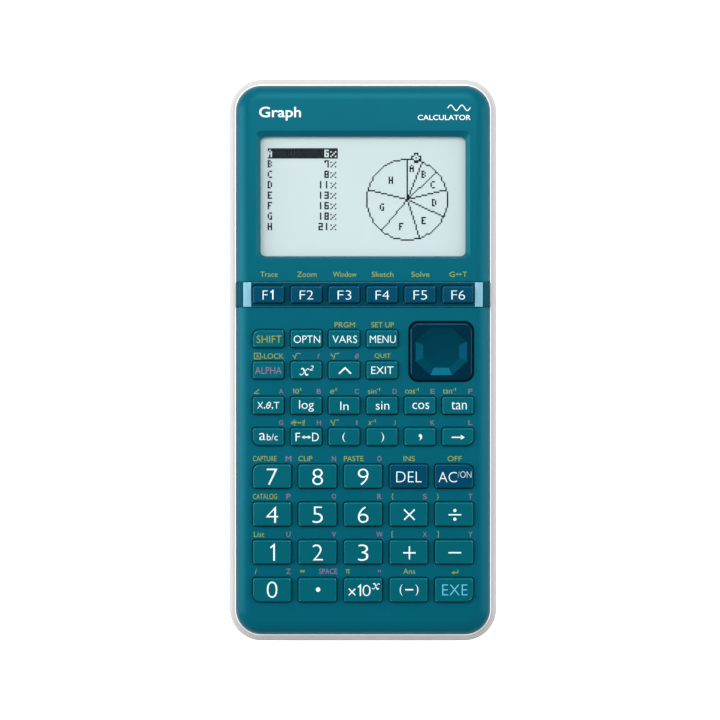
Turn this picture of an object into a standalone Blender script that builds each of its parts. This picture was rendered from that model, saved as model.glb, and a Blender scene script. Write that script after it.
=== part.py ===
"""Graphing calculator: two case shells, a display behind a window, forty-six keys and a cursor pad.

It lies on its back. X runs across it, Y towards the display end and Z up out of its face.
The origin is on the surface it rests on, under the middle of the case. Sizes are in metres.
"""
import math

import bmesh
import bpy

# Clearances
TOUCH_GAP = 0.0003          # between pieces that rest on each other
KEY_CLEARANCE = 0.00022     # between a cap and its hole, on each side
PAD_CLEARANCE = 0.0003      # between the cursor pad and its well, on each side

# Overall
CASE_WIDTH = 0.0835
CASE_LENGTH = 0.1755
KEY_RISE = 0.0013           # how far the tops of the keys stand above the face
CORNER_RADIUS = 0.010
CORNER_STEPS = 6

# Rear case
FOOT_HEIGHT = 0.0006
FOOT_RADIUS = 0.0032
FOOT_INSET_X = 0.0135       # from the case's side to a foot's middle
FOOT_INSET_Y = 0.0200
REAR_FLOOR = 0.0020
REAR_WALL = 0.0020
RIM_DROP = 0.0039           # from the face down to the rim that frames the front case
RIM_ROUND = 0.0013
BELLY_ROUND = 0.0050        # rounding between the back and the sides

# Front case
FACE_WALL = 0.0013
SKIRT_LAP = 0.0029          # how far the skirt reaches down behind the rim
SKIRT_WALL = 0.0016
SHOULDER_WIDTH = 0.0044
SHOULDER_DROP = 0.0029
SHOULDER_STEPS = 4

# Display
WINDOW_WIDTH = 0.0638       # the hole that the display shows through
WINDOW_LENGTH = 0.0372
WINDOW_Y = 0.0509
WINDOW_RADIUS = 0.0016
SLOPE_SIDE = 0.0014         # width of the sloped surround, at each side
SLOPE_TOP = 0.0018
SLOPE_BOTTOM = 0.0007
WINDOW_LAP = 0.0016         # what the window plate laps behind the case
WINDOW_PLATE = 0.0007
DISPLAY_GLASS = 0.0011

# Keys
KEY_TRAVEL = 0.0010
KEY_FLANGE_LAP = 0.00055
KEY_FLANGE = 0.0012
KEY_CHAMFER = 0.00035
KEY_CORNER = 0.0007
KEY_BIG_CORNER = 0.0024
SMALL_PITCH = 0.011775      # six columns
SMALL_WIDTH = 0.0101        # the hole, so the cap is a clearance smaller
SMALL_LENGTH = 0.00585
LARGE_PITCH = 0.01414       # five columns
LARGE_WIDTH = 0.01228
LARGE_LENGTH = 0.0078
FUNCTION_ROW_Y = 0.02036
FUNCTION_LENGTH = 0.00566
UPPER_ROW_Y = 0.00663
SECOND_ROW_Y = -0.00311
THIRD_ROW_Y = -0.01408
FOURTH_ROW_Y = -0.02380
DIGIT_ROW_Y = -0.03608      # the first of four rows of large keys
DIGIT_ROW_PITCH = 0.01177

# Cursor pad
PAD_WELL_WIDTH = 0.02025
PAD_WELL_LENGTH = 0.0189
PAD_X = 0.02431
PAD_Y = 0.00263
PAD_RADIUS = 0.0030
PAD_DROP = 0.0002           # how far the pad's top is below the tops of the keys
PAD_FLANGE = 0.0005
PAD_FLANGE_LAP = 0.0005
PAD_DRAFT = 0.00025
PAD_RING_WIDTH = 0.0160     # outer edge of the eight-sided dish
PAD_RING_LENGTH = 0.0146
PAD_FLOOR_WIDTH = 0.0112
PAD_FLOOR_LENGTH = 0.0101
PAD_DISH = 0.0008
PAD_CONE = 0.0002
PIVOT_RADIUS = 0.0040
PIVOT_HEIGHT = 0.0006
ROCK_CLEARANCE = 0.0004     # above and below the rocking pivot

# Function strip
STRIP_LENGTH = 0.0076
STRIP_PROUD = 0.00035
STRIP_SINK = 0.0006         # depth of its groove in the front case
STRIP_LEAD = 0.00025        # how far inside the shoulders the end facets begin
STRIP_FACET = 0.0024        # width of an end facet, seen from above

# Inside
BOARD_THICK = 0.0012
BOARD_SIDE_GAP = 0.0012
BOARD_TOP_Y = 0.0240
BOARD_BOTTOM_Y = -0.0765
MAT_THICK = 0.0005
MAT_DOME = 0.0002
MAT_DOME_RADIUS = 0.0018
CHIP_SIZE = 0.0120
CHIP_HEIGHT = 0.0012
RIB_THICK = 0.0012
RIB_HALF_SPAN = 0.0300
RIB_YS = (-0.062, -0.030, 0.002)

# Battery bay, for four size AAA cells side by side
CELL_RADIUS = 0.00525
CELL_LENGTH = 0.0445
CELL_NIPPLE_RADIUS = 0.0019
CELL_NIPPLE = 0.0008
CELL_COUNT = 4
CELL_SPACING = 0.0005
CELL_SIDES = 16
CONTACT_SPACE = 0.0030      # at each end of the cells, for springs and contact plates
BAY_WALL = 0.0010
BAY_ROOF = 0.0006
BAY_BOTTOM_Y = 0.0290
COVER_THICK = 0.0010
COVER_LAP = 0.0012          # how far the cover laps past the bay's sides, at its inner face
COVER_DOVETAIL = 0.0010
COVER_GRIP_COUNT = 5
COVER_GRIP_PITCH = 0.0016
COVER_GRIP_DEPTH = 0.0003

# Screws from the back
POST_RADIUS = 0.0026
BOSS_RADIUS = 0.0021
SCREW_CORE = 0.0008
SCREW_SHANK = 0.0012
SCREW_HEAD = 0.0019
SCREW_HEAD_DEPTH = 0.0050
POST_TOP = 0.0077
UPPER_SCREW = (0.0330, 0.0790)
MIDDLE_SCREW = (0.0340, 0.0270)
LOWER_SCREW = (0.0330, -0.0795)

# Levels worked out from the sizes above
BACK_Z = FOOT_HEIGHT
REAR_FLOOR_Z = BACK_Z + REAR_FLOOR
COVER_TOP_Z = BACK_Z + COVER_THICK
CELL_BOTTOM_Z = COVER_TOP_Z + TOUCH_GAP
BAY_TOP_Z = CELL_BOTTOM_Z + 2 * CELL_RADIUS + TOUCH_GAP
DISPLAY_BOTTOM_Z = BAY_TOP_Z + BAY_ROOF + TOUCH_GAP
DISPLAY_TOP_Z = DISPLAY_BOTTOM_Z + DISPLAY_GLASS
WINDOW_BOTTOM_Z = DISPLAY_TOP_Z + TOUCH_GAP
WINDOW_TOP_Z = WINDOW_BOTTOM_Z + WINDOW_PLATE
FACE_UNDER_Z = WINDOW_TOP_Z + TOUCH_GAP
FACE_HEIGHT = FACE_UNDER_Z + FACE_WALL
TOTAL_HEIGHT = FACE_HEIGHT + KEY_RISE
RIM_HEIGHT = FACE_HEIGHT - RIM_DROP
SKIRT_BOTTOM = RIM_HEIGHT - SKIRT_LAP
FLANGE_TOP_Z = FACE_UNDER_Z - TOUCH_GAP
FLANGE_BOTTOM_Z = FLANGE_TOP_Z - KEY_FLANGE
DOME_TOP_Z = FLANGE_BOTTOM_Z - KEY_TRAVEL - TOUCH_GAP
MAT_TOP_Z = DOME_TOP_Z - MAT_DOME
MAT_BOTTOM_Z = MAT_TOP_Z - MAT_THICK
BOARD_TOP_Z = MAT_BOTTOM_Z - TOUCH_GAP
BOARD_BOTTOM_Z = BOARD_TOP_Z - BOARD_THICK
PAD_TOP_Z = TOTAL_HEIGHT - PAD_DROP
PIVOT_BOTTOM_Z = MAT_TOP_Z + ROCK_CLEARANCE
PIVOT_TOP_Z = PIVOT_BOTTOM_Z + PIVOT_HEIGHT
PAD_BOTTOM_Z = PIVOT_TOP_Z + ROCK_CLEARANCE
ROCK_Z = PIVOT_TOP_Z

FRONT_INSET = REAR_WALL + TOUCH_GAP
FRONT_WIDTH = CASE_WIDTH - 2 * FRONT_INSET
SHOULDER_X = FRONT_WIDTH / 2 - SHOULDER_WIDTH
SHOULDER_Z = FACE_HEIGHT - SHOULDER_DROP
STRIP_FLAT = SHOULDER_X - STRIP_LEAD
STRIP_FACET_END = STRIP_FLAT + STRIP_FACET
BAY_HALF_WIDTH = CELL_COUNT * CELL_RADIUS + (CELL_COUNT + 1) * CELL_SPACING / 2
BAY_TOP_Y = BAY_BOTTOM_Y + CELL_LENGTH + 2 * CONTACT_SPACE
COVER_BOTTOM_Y = BAY_BOTTOM_Y - COVER_LAP

# The caps, row by row: name, column and the corner that is rounded more, if there is one
FUNCTION_KEYS = [(f"key_f{number}", number - 1, None) for number in range(1, 7)]
UPPER_KEYS = [("key_shift", 0, "upper_left"), ("key_options", 1, None), ("key_variables", 2, None),
              ("key_menu", 3, None)]
SECOND_KEYS = [("key_alpha", 0, None), ("key_square", 1, None), ("key_power", 2, None),
               ("key_exit", 3, None)]
THIRD_KEYS = [("key_variable_x", 0, None), ("key_log", 1, None), ("key_ln", 2, None),
              ("key_sin", 3, None), ("key_cos", 4, None), ("key_tan", 5, None)]
FOURTH_KEYS = [("key_fraction", 0, "lower_left"), ("key_decimal_toggle", 1, None),
               ("key_open_bracket", 2, None), ("key_close_bracket", 3, None),
               ("key_comma", 4, None), ("key_store", 5, "lower_right")]
DIGIT_ROWS = [
    [("key_7", 0, "upper_left"), ("key_8", 1, None), ("key_9", 2, None), ("key_delete", 3, None),
     ("key_clear_on", 4, "upper_right")],
    [("key_4", 0, None), ("key_5", 1, None), ("key_6", 2, None), ("key_multiply", 3, None),
     ("key_divide", 4, None)],
    [("key_1", 0, None), ("key_2", 1, None), ("key_3", 2, None), ("key_plus", 3, None),
     ("key_minus", 4, None)],
    [("key_0", 0, "lower_left"), ("key_point", 1, None), ("key_exponent", 2, None),
     ("key_negative", 3, None), ("key_execute", 4, "lower_right")],
]
DARK_KEYS = {"key_delete", "key_clear_on"}
CORNERS = ("lower_right", "upper_right", "upper_left", "lower_left")


def make_material(name, colour, roughness, metallic=0.0, alpha=1.0):
    material = bpy.data.materials.new(name)
    material.use_nodes = True
    shader = material.node_tree.nodes["Principled BSDF"]
    shader.inputs["Base Color"].default_value = (*colour, 1.0)
    shader.inputs["Roughness"].default_value = roughness
    shader.inputs["Metallic"].default_value = metallic
    shader.inputs["Alpha"].default_value = alpha
    return material


def rounded_outline(width, length, radii, steps, centre=(0.0, 0.0)):
    """Corners of a rounded rectangle, anticlockwise from the lower right; radii are in CORNERS order."""
    points = []
    signs = ((1, -1), (1, 1), (-1, 1), (-1, -1))
    for index, (side, end) in enumerate(signs):
        radius = radii[index]
        middle_x = centre[0] + side * (width / 2 - radius)
        middle_y = centre[1] + end * (length / 2 - radius)
        start = math.radians(-90 + 90 * index)
        for step in range(steps + 1):
            angle = start + math.radians(90) * step / steps
            points.append((middle_x + radius * math.cos(angle), middle_y + radius * math.sin(angle)))
    return points


def at_height(outline, z):
    return [(x, y, z) for x, y in outline]


def add_loft(mesh, rings):
    """Adds one closed body through rings of points, each ring anticlockwise seen from the last one."""
    loops = [[mesh.verts.new(point) for point in ring] for ring in rings]
    for lower, upper in zip(loops, loops[1:]):
        for index in range(len(lower)):
            following = (index + 1) % len(lower)
            mesh.faces.new((lower[index], lower[following], upper[following], upper[index]))
    mesh.faces.new(list(reversed(loops[0])))
    mesh.faces.new(loops[-1])


def make_object(name, fill, material=None, origin=(0.0, 0.0, 0.0)):
    """Makes an object whose mesh the function fill builds in world places; origin is its own origin."""
    mesh = bmesh.new()
    fill(mesh)
    bmesh.ops.translate(mesh, verts=mesh.verts, vec=[-value for value in origin])
    bmesh.ops.recalc_face_normals(mesh, faces=mesh.faces)
    data = bpy.data.meshes.new(name)
    mesh.to_mesh(data)
    mesh.free()
    made = bpy.data.objects.new(name, data)
    made.location = origin
    bpy.context.collection.objects.link(made)
    if material:
        data.materials.append(material)
    return made


def make_cutter(name, fill):
    cutter = make_object(name, fill)
    cutter.hide_render = True
    cutter.display_type = "WIRE"
    return cutter


def combine(target, cutter, operation="DIFFERENCE"):
    modifier = target.modifiers.new(cutter.name, "BOOLEAN")
    modifier.operation = operation
    modifier.solver = "EXACT"
    modifier.object = cutter


def add_box(mesh, low, high):
    outline = [(high[0], low[1]), (high[0], high[1]), (low[0], high[1]), (low[0], low[1])]
    add_loft(mesh, [at_height(outline, low[2]), at_height(outline, high[2])])


def add_y_prism(mesh, section, low_y, high_y):
    """Adds a prism along Y; its section is a list of (x, z)."""
    add_loft(mesh, [[(x, y, z) for x, z in section] for y in (high_y, low_y)])


def disc_outline(radius, sides, centre):
    turns = [2 * math.pi * (step + 0.5) / sides for step in range(sides)]
    return [(centre[0] + radius * math.cos(turn), centre[1] + radius * math.sin(turn)) for turn in turns]


def add_disc(mesh, radius, sides, centre, low_z, high_z):
    outline = disc_outline(radius, sides, centre)
    add_loft(mesh, [at_height(outline, low_z), at_height(outline, high_z)])


def case_outline(inset):
    radius = CORNER_RADIUS - inset
    return rounded_outline(CASE_WIDTH - 2 * inset, CASE_LENGTH - 2 * inset, [radius] * 4, CORNER_STEPS)


def screw_places():
    return [(side * x, y) for x, y in (UPPER_SCREW, MIDDLE_SCREW, LOWER_SCREW) for side in (-1, 1)]


def foot_places():
    x = CASE_WIDTH / 2 - FOOT_INSET_X
    y = CASE_LENGTH / 2 - FOOT_INSET_Y
    return [(side * x, end * y) for side in (-1, 1) for end in (-1, 1)]


# Keys -------------------------------------------------------------------------------------------

def column_x(column, count, pitch):
    return (column - (count - 1) / 2) * pitch


def corner_radii(big_corner):
    return [KEY_BIG_CORNER if corner == big_corner else KEY_CORNER for corner in CORNERS]


def key_layout():
    """Every key as name, place of its middle, size of its hole and the radii of its corners."""
    layout = []
    small_rows = [(FUNCTION_KEYS, FUNCTION_ROW_Y, FUNCTION_LENGTH), (UPPER_KEYS, UPPER_ROW_Y, SMALL_LENGTH),
                  (SECOND_KEYS, SECOND_ROW_Y, SMALL_LENGTH), (THIRD_KEYS, THIRD_ROW_Y, SMALL_LENGTH),
                  (FOURTH_KEYS, FOURTH_ROW_Y, SMALL_LENGTH)]
    for keys, y, length in small_rows:
        for name, column, big_corner in keys:
            centre = (column_x(column, 6, SMALL_PITCH), y)
            layout.append((name, centre, (SMALL_WIDTH, length), corner_radii(big_corner)))
    for row, keys in enumerate(DIGIT_ROWS):
        y = DIGIT_ROW_Y - row * DIGIT_ROW_PITCH
        for name, column, big_corner in keys:
            centre = (column_x(column, 5, LARGE_PITCH), y)
            layout.append((name, centre, (LARGE_WIDTH, LARGE_LENGTH), corner_radii(big_corner)))
    return layout


def key_outline(centre, size, radii, grow):
    """The hole's outline moved outwards by grow, or inwards where grow is negative."""
    grown = [max(radius + grow, KEY_CHAMFER / 2) for radius in radii]
    return rounded_outline(size[0] + 2 * grow, size[1] + 2 * grow, grown, 2, centre)


def make_key(name, centre, size, radii, material):
    cap = -KEY_CLEARANCE

    def fill(mesh):
        flange = key_outline(centre, size, radii, KEY_FLANGE_LAP)
        stem = key_outline(centre, size, radii, cap)
        top = key_outline(centre, size, radii, cap - KEY_CHAMFER)
        add_loft(mesh, [at_height(flange, FLANGE_BOTTOM_Z), at_height(flange, FLANGE_TOP_Z),
                        at_height(stem, FLANGE_TOP_Z), at_height(stem, TOTAL_HEIGHT - KEY_CHAMFER),
                        at_height(top, TOTAL_HEIGHT)])

    return make_object(name, fill, material, origin=(*centre, FLANGE_BOTTOM_Z))


def make_keys():
    light = make_material("key_teal", (0.010, 0.115, 0.180), 0.35)
    dark = make_material("key_blue", (0.002, 0.050, 0.098), 0.30)
    for name, centre, size, radii in key_layout():
        is_dark = name in DARK_KEYS or name.startswith("key_f") and name[-1].isdigit()
        make_key(name, centre, size, radii, dark if is_dark else light)


# Cursor pad -------------------------------------------------------------------------------------

def pad_outline(grow):
    radii = [PAD_RADIUS + grow] * 4
    return rounded_outline(PAD_WELL_WIDTH + 2 * grow, PAD_WELL_LENGTH + 2 * grow, radii, 3, (PAD_X, PAD_Y))


def octagon(width, length):
    """Eight-sided outline with its flats square to the case, chamfered for equal-looking corners."""
    chamfer = (width + length) / 2 * (1 - 1 / math.sqrt(2)) * 0.95
    half_x = width / 2
    half_y = length / 2
    quarter = [(half_x, half_y - chamfer), (half_x - chamfer, half_y)]
    points = [(x, -y) for x, y in reversed(quarter)] + quarter
    points += [(-x, y) for x, y in reversed(quarter)] + [(-x, -y) for x, y in quarter]
    return [(PAD_X + x, PAD_Y + y) for x, y in points]


def make_pad():
    pad_blue = make_material("pad_blue", (0.003, 0.045, 0.085), 0.15)
    rubber = make_material("pivot_rubber", (0.35, 0.36, 0.38), 0.8)

    def fill_pad(mesh):
        flange = pad_outline(PAD_FLANGE_LAP)
        stem = pad_outline(-PAD_CLEARANCE)
        brim = pad_outline(-PAD_CLEARANCE - PAD_DRAFT)
        top = pad_outline(-PAD_CLEARANCE - PAD_DRAFT - KEY_CHAMFER)
        flange_top = PAD_BOTTOM_Z + PAD_FLANGE
        add_loft(mesh, [at_height(flange, PAD_BOTTOM_Z), at_height(flange, flange_top),
                        at_height(stem, flange_top), at_height(brim, PAD_TOP_Z - KEY_CHAMFER),
                        at_height(top, PAD_TOP_Z)])

    def fill_dish(mesh):
        floor_z = PAD_TOP_Z - PAD_DISH
        rings = [at_height(octagon(PAD_FLOOR_WIDTH, PAD_FLOOR_LENGTH), floor_z),
                 at_height(octagon(PAD_RING_WIDTH, PAD_RING_LENGTH), PAD_TOP_Z),
                 at_height(octagon(PAD_RING_WIDTH, PAD_RING_LENGTH), PAD_TOP_Z + PAD_DISH)]
        add_loft(mesh, rings)
        floor = min(mesh.faces, key=lambda face: face.calc_center_median().z)
        bmesh.ops.poke(mesh, faces=[floor], offset=PAD_CONE)

    def fill_pivot(mesh):
        add_disc(mesh, PIVOT_RADIUS, 16, (PAD_X, PAD_Y), PIVOT_BOTTOM_Z, PIVOT_TOP_Z)

    rock_centre = (PAD_X, PAD_Y, ROCK_Z)
    pivot = make_object("cursor_pivot", fill_pivot, rubber, origin=rock_centre)
    pad = make_object("cursor_pad", fill_pad, pad_blue, origin=rock_centre)
    combine(pad, make_cutter("cut_pad_dish", fill_dish))
    pad.parent = pivot
    pad.location = (0.0, 0.0, 0.0)


# Cases ------------------------------------------------------------------------------------------

def belly_rings():
    """Outer surface of the rear case, from its back up to its widest line."""
    rings = []
    steps = 4
    for step in range(steps + 1):
        turn = math.radians(90) * step / steps
        inset = BELLY_ROUND * (1 - math.sin(turn))
        rings.append(at_height(case_outline(inset), BACK_Z + BELLY_ROUND * (1 - math.cos(turn))))
    return rings


def rear_shell_rings():
    rings = belly_rings()
    for step in range(4):
        turn = math.radians(90) * step / 3
        inset = RIM_ROUND * (1 - math.cos(turn))
        rings.append(at_height(case_outline(inset), RIM_HEIGHT - RIM_ROUND * (1 - math.sin(turn))))
    return rings


def cover_prism(mesh, gap):
    """Dovetail along Y that the battery cover fills, and its seat with a gap; it runs out of the end."""
    slope = COVER_DOVETAIL / COVER_THICK
    half = BAY_HALF_WIDTH + COVER_LAP + gap * (1 + slope)
    top_z = COVER_TOP_Z + gap
    low_half = half - slope * top_z
    section = [(-low_half, 0.0), (low_half, 0.0), (half, top_z), (-half, top_z)]
    add_y_prism(mesh, section, COVER_BOTTOM_Y - gap, CASE_LENGTH)


def make_rear_case():
    white = make_material("case_white", (0.68, 0.66, 0.65), 0.4)

    def fill_shell(mesh):
        add_loft(mesh, rear_shell_rings())

    def fill_cavity(mesh):
        add_loft(mesh, [at_height(case_outline(BELLY_ROUND), REAR_FLOOR_Z),
                        at_height(case_outline(REAR_WALL), REAR_FLOOR_Z + BELLY_ROUND - REAR_WALL),
                        at_height(case_outline(REAR_WALL), TOTAL_HEIGHT)])

    def fill_inner(mesh):
        sink = TOUCH_GAP
        for place in screw_places():
            add_disc(mesh, POST_RADIUS, 12, place, BACK_Z + sink, POST_TOP)
        for y in RIB_YS:
            add_box(mesh, (-RIB_HALF_SPAN, y - RIB_THICK / 2, BACK_Z + sink),
                    (RIB_HALF_SPAN, y + RIB_THICK / 2, BOARD_BOTTOM_Z - CHIP_HEIGHT - TOUCH_GAP))
        half = BAY_HALF_WIDTH + BAY_WALL
        add_box(mesh, (-half, BAY_BOTTOM_Y - BAY_WALL, BACK_Z + COVER_THICK + 2 * sink),
                (half, BAY_TOP_Y + BAY_WALL, BAY_TOP_Z + BAY_ROOF))

    def fill_feet(mesh):
        for place in foot_places():
            add_disc(mesh, FOOT_RADIUS, 12, place, 0.0, BACK_Z + FOOT_HEIGHT)

    def fill_bay(mesh):
        add_box(mesh, (-BAY_HALF_WIDTH, BAY_BOTTOM_Y, 0.0), (BAY_HALF_WIDTH, BAY_TOP_Y, BAY_TOP_Z))

    def fill_screws(mesh):
        for place in screw_places():
            add_loft(mesh, [at_height(disc_outline(SCREW_HEAD, 12, place), -FOOT_HEIGHT),
                            at_height(disc_outline(SCREW_HEAD, 12, place), SCREW_HEAD_DEPTH),
                            at_height(disc_outline(SCREW_SHANK, 12, place), SCREW_HEAD_DEPTH),
                            at_height(disc_outline(SCREW_SHANK, 12, place), TOTAL_HEIGHT)])

    case = make_object("rear_case", fill_shell, white)
    combine(case, make_cutter("cut_rear_cavity", fill_cavity))
    combine(case, make_cutter("add_rear_inner", fill_inner), "UNION")
    combine(case, make_cutter("add_rear_feet", fill_feet), "UNION")
    combine(case, make_cutter("cut_cover_seat", lambda mesh: cover_prism(mesh, TOUCH_GAP)))
    combine(case, make_cutter("cut_battery_bay", fill_bay))
    combine(case, make_cutter("cut_screw_holes", fill_screws))


def make_battery_cover():
    white = make_material("cover_white", (0.66, 0.64, 0.63), 0.45)

    def fill_grips(mesh):
        width = BAY_HALF_WIDTH / 3
        first_y = BAY_TOP_Y - COVER_GRIP_COUNT * COVER_GRIP_PITCH
        for index in range(COVER_GRIP_COUNT):
            y = first_y + index * COVER_GRIP_PITCH
            add_box(mesh, (-width, y, 0.0), (width, y + COVER_GRIP_PITCH / 2, BACK_Z + COVER_GRIP_DEPTH))

    cover = make_object("battery_cover", lambda mesh: cover_prism(mesh, 0.0), white)
    outer = make_cutter("keep_inside_back", lambda mesh: add_loft(mesh, belly_rings()))
    combine(cover, outer, "INTERSECT")
    combine(cover, make_cutter("cut_cover_grips", fill_grips))


def shoulder_section(offset, bottom_z):
    """Half of the front case's section, from the side up to the flat, moved outwards by offset."""
    points = [(FRONT_WIDTH / 2 + offset, bottom_z)]
    for step in range(SHOULDER_STEPS + 1):
        turn = math.radians(90) * step / SHOULDER_STEPS
        x = SHOULDER_X + (SHOULDER_WIDTH + offset) * math.cos(turn)
        points.append((x, SHOULDER_Z + (SHOULDER_DROP + offset) * math.sin(turn)))
    return points


def shoulder_height(x, offset):
    across = (x - SHOULDER_X) / (SHOULDER_WIDTH + offset)
    return SHOULDER_Z + (SHOULDER_DROP + offset) * math.sqrt(1 - across * across)


def whole_section(half):
    return half + [(-x, z) for x, z in reversed(half)]


def make_front_case():
    teal = make_material("case_teal", (0.004, 0.110, 0.165), 0.38)

    def fill_shell(mesh):
        rings = [at_height(case_outline(FRONT_INSET), SKIRT_BOTTOM)]
        for x, z in shoulder_section(0.0, SKIRT_BOTTOM)[1:]:
            rings.append(at_height(case_outline(CASE_WIDTH / 2 - x), z))
        add_loft(mesh, rings)

    def fill_cavity(mesh):
        side = FRONT_INSET + SKIRT_WALL
        keys_half_width = column_x(5, 6, SMALL_PITCH) + SMALL_WIDTH / 2 + KEY_FLANGE_LAP
        ceiling = min(FRONT_INSET + SHOULDER_WIDTH, CASE_WIDTH / 2 - keys_half_width)
        add_loft(mesh, [at_height(case_outline(side), SKIRT_BOTTOM - SKIRT_WALL),
                        at_height(case_outline(side), RIM_HEIGHT),
                        at_height(case_outline(ceiling), FACE_UNDER_Z)])

    def fill_openings(mesh):
        low_z = FACE_UNDER_Z - FACE_WALL
        high_z = FACE_HEIGHT + FACE_WALL
        for _, centre, size, radii in key_layout():
            hole = key_outline(centre, size, radii, 0.0)
            add_loft(mesh, [at_height(hole, low_z), at_height(hole, high_z)])
        add_loft(mesh, [at_height(pad_outline(0.0), low_z), at_height(pad_outline(0.0), high_z)])

    def fill_window(mesh):
        hole = rounded_outline(WINDOW_WIDTH, WINDOW_LENGTH, [WINDOW_RADIUS] * 4, 3, (0.0, WINDOW_Y))
        rise = (FACE_WALL + TOUCH_GAP) / FACE_WALL
        width = WINDOW_WIDTH + 2 * SLOPE_SIDE * rise
        length = WINDOW_LENGTH + (SLOPE_TOP + SLOPE_BOTTOM) * rise
        middle = (0.0, WINDOW_Y + (SLOPE_TOP - SLOPE_BOTTOM) * rise / 2)
        brim = rounded_outline(width, length, [WINDOW_RADIUS + SLOPE_SIDE] * 4, 3, middle)
        add_loft(mesh, [at_height(hole, DISPLAY_TOP_Z), at_height(hole, FACE_UNDER_Z),
                        at_height(brim, FACE_HEIGHT + TOUCH_GAP)])

    def fill_groove(mesh):
        floor = whole_section(shoulder_section(-STRIP_SINK, RIM_HEIGHT))
        outside = [(-CASE_WIDTH, RIM_HEIGHT), (-CASE_WIDTH, 2 * FACE_HEIGHT),
                   (CASE_WIDTH, 2 * FACE_HEIGHT), (CASE_WIDTH, RIM_HEIGHT)]
        half = STRIP_LENGTH / 2 + TOUCH_GAP
        add_y_prism(mesh, floor + outside, FUNCTION_ROW_Y - half, FUNCTION_ROW_Y + half)

    def fill_bosses(mesh):
        for place in screw_places():
            add_disc(mesh, BOSS_RADIUS, 12, place, POST_TOP + TOUCH_GAP, FACE_UNDER_Z + TOUCH_GAP)

    def fill_cores(mesh):
        for place in screw_places():
            add_disc(mesh, SCREW_CORE, 8, place, 0.0, FACE_UNDER_Z - FACE_WALL)

    case = make_object("front_case", fill_shell, teal)
    combine(case, make_cutter("cut_front_cavity", fill_cavity))
    combine(case, make_cutter("add_screw_bosses", fill_bosses), "UNION")
    combine(case, make_cutter("cut_strip_groove", fill_groove))
    combine(case, make_cutter("cut_key_holes", fill_openings))
    combine(case, make_cutter("cut_display_window", fill_window))
    combine(case, make_cutter("cut_screw_cores", fill_cores))


def make_function_strip():
    blue = make_material("strip_blue", (0.008, 0.084, 0.133), 0.12)

    def fill_strip(mesh):
        end_z = RIM_HEIGHT + TOUCH_GAP
        under = shoulder_section(-STRIP_SINK + TOUCH_GAP, end_z)
        over = [point for point in shoulder_section(STRIP_PROUD, end_z) if point[0] > STRIP_FACET_END]
        over.append((STRIP_FACET_END, shoulder_height(STRIP_FACET_END, STRIP_PROUD)))
        over.append((STRIP_FLAT, FACE_HEIGHT + STRIP_PROUD))
        section = whole_section(over) + list(reversed(whole_section(under)))
        half = STRIP_LENGTH / 2
        add_y_prism(mesh, section, FUNCTION_ROW_Y - half, FUNCTION_ROW_Y + half)

    def fill_holes(mesh):
        for _, centre, size, radii in key_layout()[:len(FUNCTION_KEYS)]:
            hole = key_outline(centre, size, radii, 0.0)
            add_loft(mesh, [at_height(hole, FACE_UNDER_Z), at_height(hole, 2 * FACE_HEIGHT)])

    strip = make_object("function_strip", fill_strip, blue)
    combine(strip, make_cutter("cut_strip_holes", fill_holes))


# Display, board, key mat and cells --------------------------------------------------------------

def make_plate(name, width, length, centre_y, low_z, high_z, material):
    def fill(mesh):
        outline = rounded_outline(width, length, [WINDOW_RADIUS] * 4, 2, (0.0, centre_y))
        add_loft(mesh, [at_height(outline, low_z), at_height(outline, high_z)])

    return make_object(name, fill, material)


def make_display():
    clear = make_material("window_clear", (0.85, 0.93, 0.94), 0.05, alpha=0.3)
    panel = make_material("display_grey", (0.62, 0.76, 0.78), 0.3)
    width = WINDOW_WIDTH + 2 * WINDOW_LAP
    length = WINDOW_LENGTH + 2 * WINDOW_LAP
    make_plate("display_window", width, length, WINDOW_Y, WINDOW_BOTTOM_Z, WINDOW_TOP_Z, clear)
    make_plate("lcd_panel", width, length, WINDOW_Y, DISPLAY_BOTTOM_Z, DISPLAY_TOP_Z, panel)


def board_size():
    half_width = FRONT_WIDTH / 2 - SKIRT_WALL - BOARD_SIDE_GAP
    return 2 * half_width, BOARD_TOP_Y - BOARD_BOTTOM_Y, (BOARD_TOP_Y + BOARD_BOTTOM_Y) / 2


def make_board():
    green = make_material("board_green", (0.02, 0.16, 0.06), 0.5)
    width, length, middle_y = board_size()
    board = make_plate("main_board", width, length, middle_y, BOARD_BOTTOM_Z, BOARD_TOP_Z, green)

    def fill_chip(mesh):
        y = (RIB_YS[1] + RIB_YS[2]) / 2
        half = CHIP_SIZE / 2
        low_z = BOARD_BOTTOM_Z - CHIP_HEIGHT
        add_box(mesh, (-half, y - half, low_z), (half, y + half, BOARD_BOTTOM_Z + BOARD_THICK / 2))

    combine(board, make_cutter("add_processor", fill_chip), "UNION")


def make_key_mat():
    rubber = make_material("mat_rubber", (0.55, 0.56, 0.55), 0.8)
    width, length, middle_y = board_size()
    mat = make_plate("key_mat", width, length, middle_y, MAT_BOTTOM_Z, MAT_TOP_Z, rubber)

    def fill_domes(mesh):
        for _, centre, _, _ in key_layout():
            add_disc(mesh, MAT_DOME_RADIUS, 8, centre, MAT_BOTTOM_Z + MAT_THICK / 2, DOME_TOP_Z)

    combine(mat, make_cutter("add_mat_domes", fill_domes), "UNION")


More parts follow.
